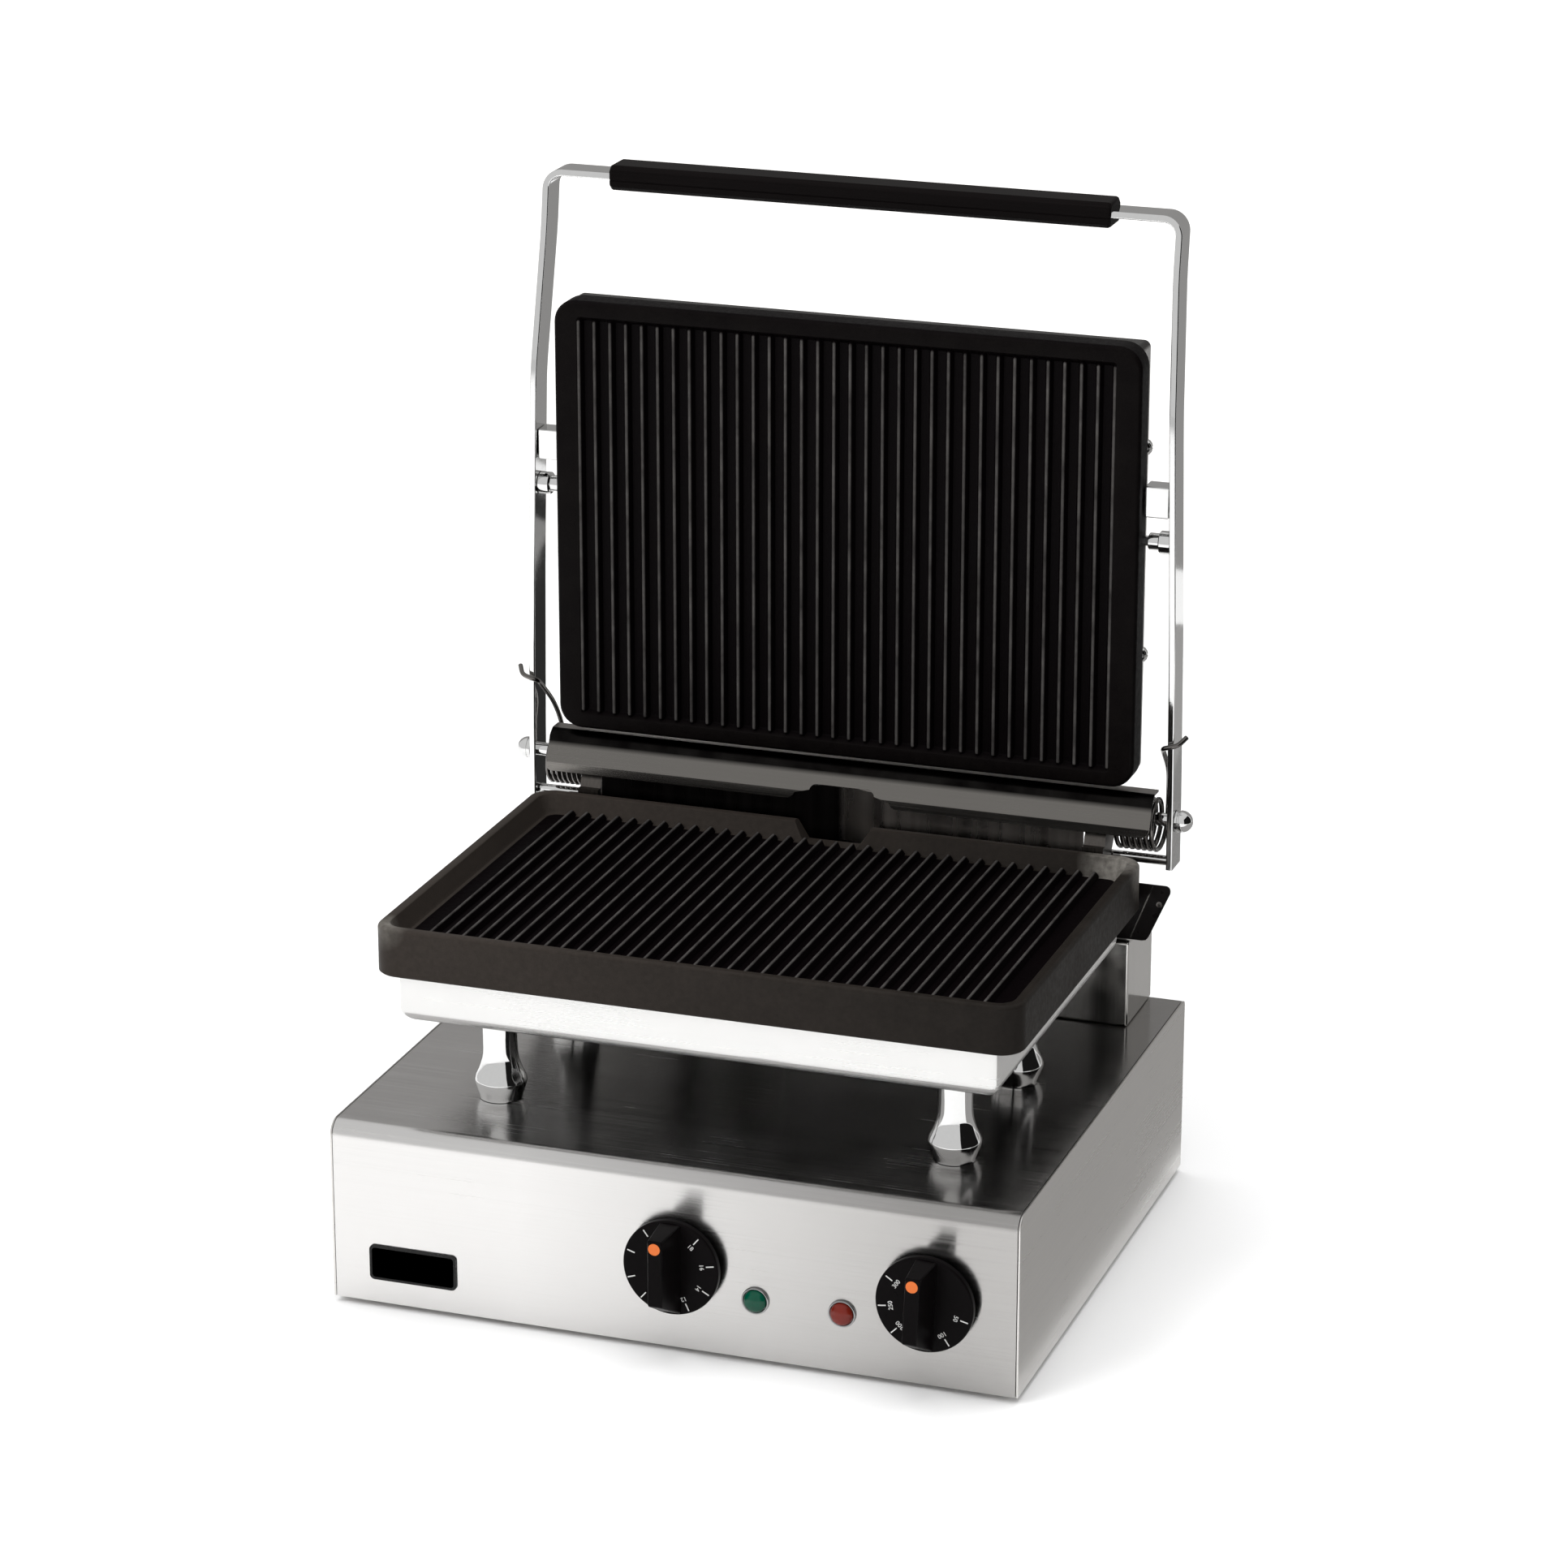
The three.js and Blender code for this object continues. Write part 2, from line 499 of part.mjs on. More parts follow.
function buildLid() {
  const { y, z, shaft } = HINGE;
  const outline = [...bowOutline(0), ...bowOutline(BOW.t).reverse()];
  const flat = alongY(outline, BOW.y - BOW.w / 2, BOW.y + BOW.w / 2);
  const position = flat.attributes.position;
  for (let i = 0; i < position.count; i++) {
    position.setY(i, position.getY(i) + leanAt(position.getZ(i)));
  }
  add('handle_bow', cut(flat, rod(shaft + GAP, 440, 'x', [-220, y, z])), CHROME);
  buildGrip();

  const innerFace = (height) => bowHalfWidth(height) - BOW.t - GAP;
  const reach = innerFace(CROSS_ROD.z + CROSS_ROD.r);
  add('cross_rod', rod(CROSS_ROD.r, 2 * reach, 'x', [-reach, y, CROSS_ROD.z], 12), CHROME);

  mirrored((side, s) => {
    const pin = [[0, 0], [6.8, 0], [6.8, 7], [5, 7.4], [5, 13.5], [3, 13.5], [3, 25], [0, 25]];
    const pinFace = innerFace(TILT.z + pin[1][0]);
    add(`tilt_pin_${side}`, turned(pin, s > 0 ? '-x' : 'x', [s * pinFace, TILT.y, TILT.z], 20), CHROME);
    const half = 9.3;
    const stop = join(
      block(183.5, innerFace(TILT.stopZ + half), TILT.y - 7.5, TILT.y + 6, TILT.stopZ - half, TILT.stopZ + half),
      rod(2, 14, 'x', [171, TILT.y, TILT.stopZ], 12),
    );
    if (s < 0) stop.rotateZ(Math.PI).translate(0, 2 * TILT.y, 0);
    add(`tilt_stop_${side}`, stop, CHROME);
    add(`hinge_spring_${side}`, springGeometry(s, ...SPRING[side]), STEEL);
  });
}

// Eight-sided grip slipped over the top of the bow.
function buildGrip() {
  const gripY = BOW.y + leanAt(GRIP.z);
  const half = { w: GRIP.w / 2, h: GRIP.h / 2 };
  const bevel = 2.4;
  const endBevel = 1.2;
  const section = (x, w, h) => [
    [x, gripY - w, GRIP.z - h + bevel], [x, gripY - w + bevel, GRIP.z - h],
    [x, gripY + w - bevel, GRIP.z - h], [x, gripY + w, GRIP.z - h + bevel],
    [x, gripY + w, GRIP.z + h - bevel], [x, gripY + w - bevel, GRIP.z + h],
    [x, gripY - w + bevel, GRIP.z + h], [x, gripY - w, GRIP.z + h - bevel],
  ];
  const grip = loft([
    section(-GRIP.x, half.w - endBevel, half.h - endBevel), section(-GRIP.x + 2, half.w, half.h),
    section(GRIP.x - 2, half.w, half.h), section(GRIP.x, half.w - endBevel, half.h - endBevel),
  ]);
  const channel = block(-GRIP.x - 5, GRIP.x + 5, gripY - BOW.w / 2 - 0.6, gripY + BOW.w / 2 + 0.6,
    BOW.top - BOW.t - GAP - 0.1, BOW.top + GAP + 0.1);
  add('handle_grip', cut(grip, channel), BLACK_PLASTIC);
}

// Torsion spring: coils hanging round the shaft, then a leg that rises inside the arm and hooks round
// its front edge.
function springGeometry(s, x0, x1) {
  const { y, z } = HINGE;
  const { wire, r, sag, turns } = SPRING;
  const count = turns * 12;
  const points = Array.from({ length: count + 1 }, (_, i) => {
    const t = i / count;
    const a = 2 * Math.PI * turns * (1 - t);
    return [x0 + (x1 - x0) * t, y + r * Math.cos(a), z - sag - r * Math.sin(a)];
  });
  const front = BOW.y - BOW.w / 2 - wire - 1.2;
  const outer = bowHalfWidth(z + 50);
  points.push([x1 + 0.4, y + r - 0.8, z + 12], [x1 + (outer - 6 - x1) * 0.5, y + r - 6, z + 28],
    [outer - 6.9, y - 4, z + 43], [outer - 5.8, front + 1.2, z + 47], [outer - 2, front - 0.5, z + 48.8],
    [outer + 3, front + 0.6, z + 50.5], [outer + 6.8, front + 6, z + 54]);
  const path = new THREE.CatmullRomCurve3(
    points.map(([x, py, pz]) => new THREE.Vector3(s * x, py, pz)), false, 'centripetal');
  const sides = 6;
  const steps = count + 26;
  const frames = path.computeFrenetFrames(steps, false);
  const rings = Array.from({ length: steps + 1 }, (_, i) => {
    const p = path.getPointAt(i / steps);
    return arc(0, 0, wire, 0, 360 - 360 / sides, sides - 1).map(([c, d]) =>
      p.clone().addScaledVector(frames.normals[i], c).addScaledVector(frames.binormals[i], d).toArray());
  });
  return loft(rings);
}

// ---------------------------------------------------------------- upper plate and its casing
function buildPlaten() {
  const { x, z0, z1, y, t, corner, margin } = PLATEN;
  const facing = (inset, depth, half, low, high, r) =>
    roundedRect(-half + inset, half - inset, low + inset, high - inset, r, 4)
      .map(([px, pz]) => [px, depth, pz]);
  const ring = (inset, depth) => facing(inset, depth, x, z0, z1, corner - inset * 0.6);
  const slab = loft([ring(2, y), ring(0, y + 2), ring(0, y + t)]);
  const grooves = Array.from({ length: RIB.count - 1 }, (_, i) => {
    const cx = (i - (RIB.count - 2) / 2) * RIB.pitch;
    const wide = (RIB.pitch - RIB.crest) / 2;
    const narrow = (RIB.pitch - RIB.root) / 2;
    const section = (depth, half, low, high) => [
      [cx - half, depth, low], [cx + half, depth, low], [cx + half, depth, high], [cx - half, depth, high],
    ];
    return loft([
      section(y - 1, wide + 0.3, z0 + margin - 1, z1 - margin + 1),
      section(y + RIB.height, narrow, z0 + margin + 3, z1 - margin - 3),
    ]);
  });
  const holes = [-1, 1].flatMap((s) => tiltHoles(s));
  const pocket = loft([facing(14, y + t - PLATEN.pocket, x, z0, z1, 8), facing(13, y + t + 2, x, z0, z1, 8)]);
  const cutters = [...grooves, ...holes, pocket].map((g) => toSolid(g));
  add('upper_plate', toGeometry(cutters.reduce((solid, c) => solid.subtract(c), toSolid(slab))), CAST_IRON);

  const { x: cx, inset, y1, corner: caseCorner } = PLATEN_CASE;
  const front = y + t + GAP;
  const pan = (wall) => {
    const level = (back, depth) =>
      facing(back + wall, depth, cx, z0 + inset, z1 - inset, caseCorner - wall);
    const open = wall ? front - 4 : front;
    return loft([level(0, open), level(0, y1 - 3), level(0.9, y1 - 0.9 - wall), level(2.8, y1 - wall)]);
  };
  const screwHoles = CASE_SCREW.z.flatMap((z) => [-1, 1].map((s) =>
    rod(2.3, 12, 'x', [s * (cx - 2) - 6, CASE_SCREW.y, z], 12)));
  add('upper_casing', cut(pan(0), pan(SHEET), ...holes, ...screwHoles), STEEL);
  const elementY = y + t - PLATEN.pocket + 3.6;
  const runs = [...serpentine(-155, 155, 292, 376, 3), ...serpentine(-155, 155, 404, 488, 3).reverse()];
  add('upper_heating_element', elementRod(runs, (u, v, w) => new THREE.Vector3(u, elementY + w, v)), ELEMENT);
  add('upper_insulation_board', block(-150, 150, front + 3, front + 10, z0 + 30, z1 - 30), FIBRE);

  const positions = [['lower', CASE_SCREW.z[0]], ['upper', CASE_SCREW.z[1]]];
  for (const [row, z] of positions) {
    mirrored((side, s) => {
      const head = [[0, -6], [2, -6], [2, 0.6], [5, 0.6], [4.4, 2.6], [2.6, 3.8], [0, 4.2]];
      add(`casing_screw_${row}_${side}`, turned(head, s > 0 ? 'x' : '-x', [s * cx, CASE_SCREW.y, z], 16),
        CHROME);
    });
  }
}

// Round hole for the tilt pin and a short slot for the stop's stub, in the platen's side.
function tiltHoles(s) {
  const start = s > 0 ? 170.5 : -184;
  const travel = 2.3;
  return [
    rod(3.4, 13.5, 'x', [start, TILT.y, TILT.z], 20),
    block(start, start + 13.5, TILT.y - 2.4, TILT.y + 2.4 + travel, TILT.stopZ - 2.7, TILT.stopZ + 2.7),
  ];
}

buildBase();
buildControls();
buildWiring();
buildStand();
buildLowerPlate();
buildHinge();
buildTray();
buildLid();
buildPlaten();

const paniniPress = new THREE.Group();
paniniPress.add(desk);

export default paniniPress;
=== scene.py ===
# Panini press: the visual model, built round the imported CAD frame.
import json
import math
import bmesh
import bpy
from mathutils import Matrix, Vector


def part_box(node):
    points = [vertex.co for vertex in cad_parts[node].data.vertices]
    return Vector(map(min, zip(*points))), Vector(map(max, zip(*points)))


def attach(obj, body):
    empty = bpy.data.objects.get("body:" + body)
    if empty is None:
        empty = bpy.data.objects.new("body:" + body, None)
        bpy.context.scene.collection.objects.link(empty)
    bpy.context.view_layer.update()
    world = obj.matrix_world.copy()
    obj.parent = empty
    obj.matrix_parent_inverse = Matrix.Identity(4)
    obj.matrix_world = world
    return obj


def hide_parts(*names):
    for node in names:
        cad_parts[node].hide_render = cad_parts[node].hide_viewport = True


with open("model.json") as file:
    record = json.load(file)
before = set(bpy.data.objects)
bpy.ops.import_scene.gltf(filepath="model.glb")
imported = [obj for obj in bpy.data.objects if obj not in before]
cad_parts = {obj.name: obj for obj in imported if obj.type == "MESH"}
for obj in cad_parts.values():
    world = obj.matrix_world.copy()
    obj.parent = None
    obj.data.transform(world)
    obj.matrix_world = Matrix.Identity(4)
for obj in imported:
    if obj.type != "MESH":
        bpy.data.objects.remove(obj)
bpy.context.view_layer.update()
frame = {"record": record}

MM = 0.001

# ---------------------------------------------------------------- places taken from the frame, in mm


def span(node):
    """Lowest and highest corner of a CAD node, in millimetres."""
    low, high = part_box(node)
    return low / MM, high / MM


def joint(name):
    found = next(j for j in frame["record"]["behaviour"]["joints"] if j["name"] == name)
    return Vector(found["pos_m"]) / MM


HINGE = joint("lid_hinge")
TILT = joint("platen_tilt")
SHEET = 1.2

# ---------------------------------------------------------------- outlines


def arc(cx, cy, r, start, end, steps):
    """Points of a circular arc, angles in degrees."""
    angles = [math.radians(start + (end - start) * i / steps) for i in range(steps + 1)]
    return [(cx + r * math.cos(a), cy + r * math.sin(a)) for a in angles]


def rounded_rect(x0, x1, y0, y1, r, steps=6):
    return [
        *arc(x1 - r, y0 + r, r, -90, 0, steps),
        *arc(x1 - r, y1 - r, r, 0, 90, steps),
        *arc(x0 + r, y1 - r, r, 90, 180, steps),
        *arc(x0 + r, y0 + r, r, 180, 270, steps),
    ]


def curve_through(points, per_span=6):
    """A smooth open line through points of any dimension (Catmull-Rom)."""
    pts = [Vector(p) for p in points]
    pts = [pts[0] * 2 - pts[1], *pts, pts[-1] * 2 - pts[-2]]
    line = []
    for a, b, c, d in zip(pts, pts[1:], pts[2:], pts[3:]):
        for i in range(per_span):
            t = i / per_span
            line.append(0.5 * (2 * b + (c - a) * t + (2 * a - 5 * b + 4 * c - d) * t * t
                               + (3 * b - a - 3 * c + d) * t ** 3))
    return [*line, pts[-2]]


# ---------------------------------------------------------------- solids, as (vertices, faces) in mm


def loft(rings, capped=True):
    """A solid through equal rings of (x, y, z) points."""
    n = len(rings[0])
    verts = [p for ring in rings for p in ring]
    faces = []
    for k in range(len(rings) - 1):
        for i in range(n):
            a, b = k * n + i, k * n + (i + 1) % n
            faces.append((a, b, b + n, a + n))
    if capped:
        faces.append(tuple(reversed(range(n))))
        faces.append(tuple(range(len(verts) - n, len(verts))))
    return verts, faces


def on_axis(axis, a, b, along):
    """A point whose coordinate on one axis is `along`; a and b fill the other two in x, y, z order."""
    return {"x": (along, a, b), "y": (a, along, b), "z": (a, b, along)}[axis]


def prism(outline, axis, low, high):
    return loft([[on_axis(axis, a, b, along) for a, b in outline] for along in (low, high)])


def box(x0, x1, y0, y1, z0, z1):
    return prism([(x0, y0), (x1, y0), (x1, y1), (x0, y1)], "z", z0, z1)


def lathe(profile, axis, at, steps=48):
    """A turned solid: profile points are (radius, distance along the axis) from `at`."""
    sign = -1 if axis.startswith("-") else 1
    origin = Vector(at)
    rings = []
    for r, h in profile:
        ring = []
        for a, b in arc(0, 0, r, 0, 360 - 360 / steps, steps - 1):
            ring.append(tuple(origin + Vector(on_axis(axis[-1], a, b, sign * h))))
        rings.append(ring)
    return loft(rings)


def sweep(path, section, up):
    """A section of (across, up) points carried along a path without twisting."""
    pts = [Vector(p) for p in path]
    rings = []
    normal = Vector(up)
    for i, p in enumerate(pts):
        before = pts[max(i - 1, 0)]
        after = pts[min(i + 1, len(pts) - 1)]
        tangent = (after - before).normalized()
        normal = (normal - tangent * normal.dot(tangent)).normalized()
        across = tangent.cross(normal)
        rings.append([tuple(p + across * a + normal * b) for a, b in section])
    return loft(rings)


def circle(r, steps=12):
    return arc(0, 0, r, 0, 360 - 360 / steps, steps - 1)


# ---------------------------------------------------------------- objects


def mesh_object(name, solids):
    """One object out of one or more solids, scaled from millimetres to metres."""
    work = bmesh.new()
    for verts, faces in solids:
        made = [work.verts.new(Vector(v) * MM) for v in verts]
        for face in faces:
            work.faces.new([made[i] for i in face])
    bmesh.ops.remove_doubles(work, verts=work.verts, dist=1e-6)
    bmesh.ops.recalc_face_normals(work, faces=work.faces)
    mesh = bpy.data.meshes.new(name)
    work.to_mesh(mesh)
    work.free()
    obj = bpy.data.objects.new(name, mesh)
    bpy.context.scene.collection.objects.link(obj)
    return obj


def settle(obj):
    """Applies the modifiers to the mesh."""
    bpy.context.view_layer.update()
    graph = bpy.context.evaluated_depsgraph_get()
    mesh = bpy.data.meshes.new_from_object(obj.evaluated_get(graph))
    obj.modifiers.clear()
    obj.data = mesh


def combine(obj, solids, operation="DIFFERENCE"):
    """Cuts the solids out of the object, or joins them to it."""
    for solid in solids:
        tool = mesh_object("tool", [solid])
        step = obj.modifiers.new("combine", "BOOLEAN")
        step.operation = operation
        step.solver = "EXACT"
        step.object = tool
        settle(obj)
        bpy.data.objects.remove(tool)


def dress(obj, material, body, slot, replaces=(), bevel=0, segments=3, smooth=35):
    """Rounds the edges, shades them smooth, and ties the piece to its body and CAD nodes. slot is not used."""
    if bevel:
        step = obj.modifiers.new("edges", "BEVEL")
        step.width = bevel * MM
        step.segments = segments
        step.limit_method = "ANGLE"
        step.angle_limit = math.radians(smooth)
        settle(obj)
    obj.data.polygons.foreach_set("use_smooth", [True] * len(obj.data.polygons))
    obj.data.set_sharp_from_angle(angle=math.radians(smooth))
    obj.modifiers.new("flat_faces", "WEIGHTED_NORMAL").keep_sharp = True
    obj.data.materials.clear()
    obj.data.materials.append(material)
    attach(obj, body)
    if replaces:
        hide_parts(*replaces)
    return obj


def piece(name, solids, material, body, slot, replaces=(), cuts=(), **edges):
    obj = mesh_object(name, solids)
    combine(obj, cuts)
    return dress(obj, material, body, slot, replaces, **edges)


# ---------------------------------------------------------------- materials


def noise(material, vector, scale, detail):
    """Adds a noise texture and returns its value socket."""
    node = material.node_tree.nodes.new("ShaderNodeTexNoise")
    node.inputs["Scale"].default_value = scale
    node.inputs["Detail"].default_value = detail
    material.node_tree.links.new(vector, node.inputs["Vector"])
    return node.outputs["Fac"]


def surface(name, colour, roughness, metallic, grain, tone, spread, relief, relief_scale=1.0, depth=0.2,
            anisotropy=0.0, specular=0.5):
    """A material whose colour, roughness and relief vary along a stretched grain.
    grain is in cycles per metre along x, y and z; depth is the relief's height in mm."""
    material = bpy.data.materials.new(name)
    material.use_nodes = True
    nodes, links = material.node_tree.nodes, material.node_tree.links
    shader = nodes["Principled BSDF"]
    shader.inputs["Metallic"].default_value = metallic
    shader.inputs["Specular IOR Level"].default_value = specular
    place = nodes.new("ShaderNodeTexCoord")
    stretch = nodes.new("ShaderNodeMapping")
    stretch.inputs["Scale"].default_value = grain
    links.new(place.outputs["Object"], stretch.inputs["Vector"])
    grain_noise = noise(material, stretch.outputs["Vector"], 1, 4)
    blotch = noise(material, place.outputs["Object"], 14, 5)
    both = nodes.new("ShaderNodeMath")
    both.operation = "MULTIPLY_ADD"
    links.new(grain_noise, both.inputs[0])
    both.inputs[1].default_value = 0.6
    share = nodes.new("ShaderNodeMath")
    share.operation = "MULTIPLY"
    share.inputs[1].default_value = 0.4
    links.new(blotch, share.inputs[0])
    links.new(share.outputs[0], both.inputs[2])
    tint = nodes.new("ShaderNodeMapRange")
    tint.data_type = "FLOAT_VECTOR"
    tint.inputs[7].default_value = (0.3,) * 3
    tint.inputs[8].default_value = (0.7,) * 3
    tint.inputs[9].default_value = [c * (1 - tone) for c in colour]
    tint.inputs[10].default_value = [min(1, c * (1 + tone)) for c in colour]
    links.new(both.outputs[0], tint.inputs[6])
    links.new(tint.outputs[1], shader.inputs["Base Color"])
    gloss = nodes.new("ShaderNodeMapRange")
    gloss.inputs["From Min"].default_value = 0.3
    gloss.inputs["From Max"].default_value = 0.7
    gloss.inputs["To Min"].default_value = max(0.0, roughness - spread)
    gloss.inputs["To Max"].default_value = roughness + spread
    links.new(both.outputs[0], gloss.inputs["Value"])
    links.new(gloss.outputs[0], shader.inputs["Roughness"])
    bump = nodes.new("ShaderNodeBump")
    bump.inputs["Strength"].default_value = relief
    bump.inputs["Distance"].default_value = depth * MM
    links.new(noise(material, stretch.outputs["Vector"], 2.5 * relief_scale, 3), bump.inputs["Height"])
    links.new(bump.outputs["Normal"], shader.inputs["Normal"])
    if anisotropy:
        shader.inputs["Anisotropic"].default_value = anisotropy
        tangent = nodes.new("ShaderNodeTangent")
        tangent.direction_type = "RADIAL"
        tangent.axis = "X"
        links.new(tangent.outputs["Tangent"], shader.inputs["Tangent"])
    return material


ALONG_X = (5, 700, 700)
ALONG_Y = (700, 5, 700)
ALONG_Z = (700, 700, 5)
FINE = (400, 400, 400)

SIDE_STEEL = surface("brushed_side", (0.66, 0.645, 0.625), 0.3, 1, ALONG_Y, 0.06, 0.05, 0.10)
POLISHED = surface("polished_sheet", (0.70, 0.69, 0.67), 0.14, 1, ALONG_Z, 0.05, 0.03, 0.04)
BRACKET_STEEL = surface("heat_dark_bracket", (0.11, 0.1, 0.092), 0.32, 1, ALONG_Z, 0.2, 0.06, 0.1)
# Tone of the hinge cover's top face: a painted reflection.
COVER_STRIP = surface("cover_top_painted_reflection", (0.24, 0.225, 0.21), 0.3, 1, ALONG_X, 0.12, 0.06, 0.08)
CHROME = surface("chrome_plate", (0.72, 0.72, 0.715), 0.05, 1, FINE, 0.02, 0.02, 0.01)
BEZEL_CHROME = surface("bezel_chrome", (0.3, 0.3, 0.3), 0.1, 1, FINE, 0.05, 0.03, 0.02)
SPRING_STEEL = surface("spring_wire", (0.15, 0.142, 0.135), 0.16, 1, FINE, 0.15, 0.05, 0.05)
ENAMEL = surface("black_enamel", (0.005, 0.004, 0.004), 0.3, 0, (90, 90, 90), 0.2, 0.05, 0.05, specular=0.1)
PLASTIC = surface("black_phenolic", (0.003, 0.0024, 0.0026), 0.3, 0, (300, 300, 300), 0.2, 0.04, 0.04,
                  specular=0.035)
GRIP_PLASTIC = surface("grip_phenolic", (0.004, 0.0032, 0.0032), 0.35, 0, ALONG_X, 0.2, 0.05, 0.08,
                       specular=0.02)
RUBBER = surface("foot_rubber", (0.02, 0.02, 0.02), 0.85, 0, FINE, 0.2, 0.05, 0.3, specular=0.2)
SHEATH = surface("element_sheath", (0.12, 0.11, 0.1), 0.5, 0.8, FINE, 0.2, 0.1, 0.2)
FIBRE = surface("mineral_fibre", (0.6, 0.56, 0.48), 0.95, 0, (500, 500, 500), 0.15, 0.03, 0.6)
CERAMIC = surface("glazed_ceramic", (0.82, 0.78, 0.7), 0.3, 0, (200, 200, 200), 0.05, 0.05, 0.05)
PRINT = surface("white_print", (0.62, 0.62, 0.61), 0.5, 0, FINE, 0.04, 0.03, 0.05)
ORANGE = surface("orange_print", (0.62, 0.125, 0.006), 0.4, 0, FINE, 0.06, 0.03, 0.05)
GREEN = surface("green_lens", (0.0, 0.055, 0.03), 0.12, 0, (150, 150, 150), 0.25, 0.03, 0.03, specular=0.3)
RED = surface("red_lens", (0.14, 0.012, 0.006), 0.12, 0, (150, 150, 150), 0.25, 0.03, 0.03, specular=0.3)
BADGE = surface("badge_enamel", (0.006, 0.006, 0.006), 0.25, 0, FINE, 0.2, 0.05, 0.03, specular=0.2)


def graded(name, low_colour, high_colour, axis, low, high, roughness=0.5, metallic=0.0, patchy=0.6,
           grain=(330, 330, 330), relief=0.3, specular=0.05, anisotropy=0.0, tone=0.3):
    """A surface whose colour runs between two tones along one axis (in mm), broken up by patches."""
    material = surface(name, (1, 1, 1), roughness, metallic, grain, tone, 0.1, relief,
                       relief_scale=1.2, depth=0.3, specular=specular, anisotropy=anisotropy)
    nodes, links = material.node_tree.nodes, material.node_tree.links
    shader = nodes["Principled BSDF"]
    place = nodes.new("ShaderNodeTexCoord")
    split = nodes.new("ShaderNodeSeparateXYZ")
    links.new(place.outputs["Object"], split.inputs[0])
    progress = nodes.new("ShaderNodeMapRange")
    progress.inputs["From Min"].default_value = low * MM
    progress.inputs["From Max"].default_value = high * MM
    links.new(split.outputs[axis], progress.inputs["Value"])
    spots = nodes.new("ShaderNodeMapRange")
    spots.inputs["From Min"].default_value = 0.3
    spots.inputs["From Max"].default_value = 0.7
    spots.inputs["To Min"].default_value = 1 - patchy
    spots.inputs["To Max"].default_value = 1
    links.new(noise(material, place.outputs["Object"], 70, 6), spots.inputs["Value"])
    share = nodes.new("ShaderNodeMath")
    share.operation = "MULTIPLY"
    links.new(progress.outputs[0], share.inputs[0])
    links.new(spots.outputs[0], share.inputs[1])
    blend = nodes.new("ShaderNodeMix")
    blend.data_type = "RGBA"
    links.new(share.outputs[0], blend.inputs[0])
    blend.inputs[6].default_value = (*low_colour, 1)
    blend.inputs[7].default_value = (*high_colour, 1)
    mottle = nodes.new("ShaderNodeVectorMath")
    mottle.operation = "MULTIPLY"
    links.new(blend.outputs[2], mottle.inputs[0])
    links.new(shader.inputs["Base Color"].links[0].from_socket, mottle.inputs[1])
    links.new(mottle.outputs[0], shader.inputs["Base Color"])
    return material


def wear_and_highlight(material, at, radius, colour):
    """Paints a bright patch unevenly round a place, in mm: rubbed-off finish and a painted highlight."""
    nodes, links = material.node_tree.nodes, material.node_tree.links
    shader = nodes["Principled BSDF"]
    place = nodes.new("ShaderNodeTexCoord")
    distance = nodes.new("ShaderNodeVectorMath")
    distance.operation = "DISTANCE"
    distance.inputs[1].default_value = Vector(at) * MM
    links.new(place.outputs["Object"], distance.inputs[0])
    near = nodes.new("ShaderNodeMapRange")
    near.inputs["From Min"].default_value = radius * MM
    near.inputs["From Max"].default_value = 0
    links.new(distance.outputs["Value"], near.inputs["Value"])
    share = nodes.new("ShaderNodeMath")
    share.operation = "MULTIPLY"
    links.new(near.outputs[0], share.inputs[0])
    links.new(noise(material, place.outputs["Object"], 260, 5), share.inputs[1])
    blend = nodes.new("ShaderNodeMix")
    blend.data_type = "RGBA"
    links.new(share.outputs[0], blend.inputs[0])
    links.new(shader.inputs["Base Color"].links[0].from_socket, blend.inputs[6])
    blend.inputs[7].default_value = (*colour, 1)
    links.new(blend.outputs[2], shader.inputs["Base Color"])


SOOT = (0.0022, 0.0014, 0.0017)
# Rib crest colour: wear on the crests, and a painted highlight along them.
CREST_WEAR_AND_HIGHLIGHT = (0.085, 0.08, 0.077)
# Colour at the left end of the lower plate; the plate grows darker towards the right.
IRON_LEFT_TONE = (0.034, 0.028, 0.024)
PAN_FLOOR = span("lower_plate")[1].z - 11.5
PLATEN_FACE = span("upper_plate")[0].y
# The lower plate's colour runs from a lighter tone at the left end to a darker one at the right.
LOWER_IRON = graded("cast_iron_lower", IRON_LEFT_TONE, (0.0125, 0.0105, 0.009), 0, -160, 160, 0.45, patchy=0.2,
                    specular=0.06)
PLATE_LOW, PLATE_HIGH = span("lower_plate")
# Bright patches at the rear-right and front-left corners of the lower plate: worn iron, and a painted highlight.
wear_and_highlight(LOWER_IRON, (PLATE_HIGH.x - 14, PLATE_HIGH.y - 10, PLATE_HIGH.z - 2), 26, (0.34, 0.32, 0.29))
wear_and_highlight(LOWER_IRON, (PLATE_LOW.x + 8, PLATE_LOW.y + 8, PLATE_HIGH.z), 16, (0.2, 0.19, 0.17))
# The lower ribs are painted lighter along their top 0.7 mm: wear, and a painted highlight on the crests.
LOWER_RIBS = graded("cast_iron_lower_ribs", SOOT, CREST_WEAR_AND_HIGHLIGHT, 2, PAN_FLOOR + 3.3, PAN_FLOOR + 4.1, specular=0.02)
UPPER_IRON = graded("cast_iron_upper", SOOT, (0.0045, 0.0036, 0.0034), 1, PLATEN_FACE + 3, PLATEN_FACE, 0.42,
                    specular=0.035)
# The upper ribs are painted lighter at their crests: wear, and a painted highlight.
UPPER_RIBS = graded("cast_iron_upper_ribs", SOOT, CREST_WEAR_AND_HIGHLIGHT, 1, PLATEN_FACE + 0.8, PLATEN_FACE, specular=0.02)
CASING_BASE = span("lower_casing")[0].z
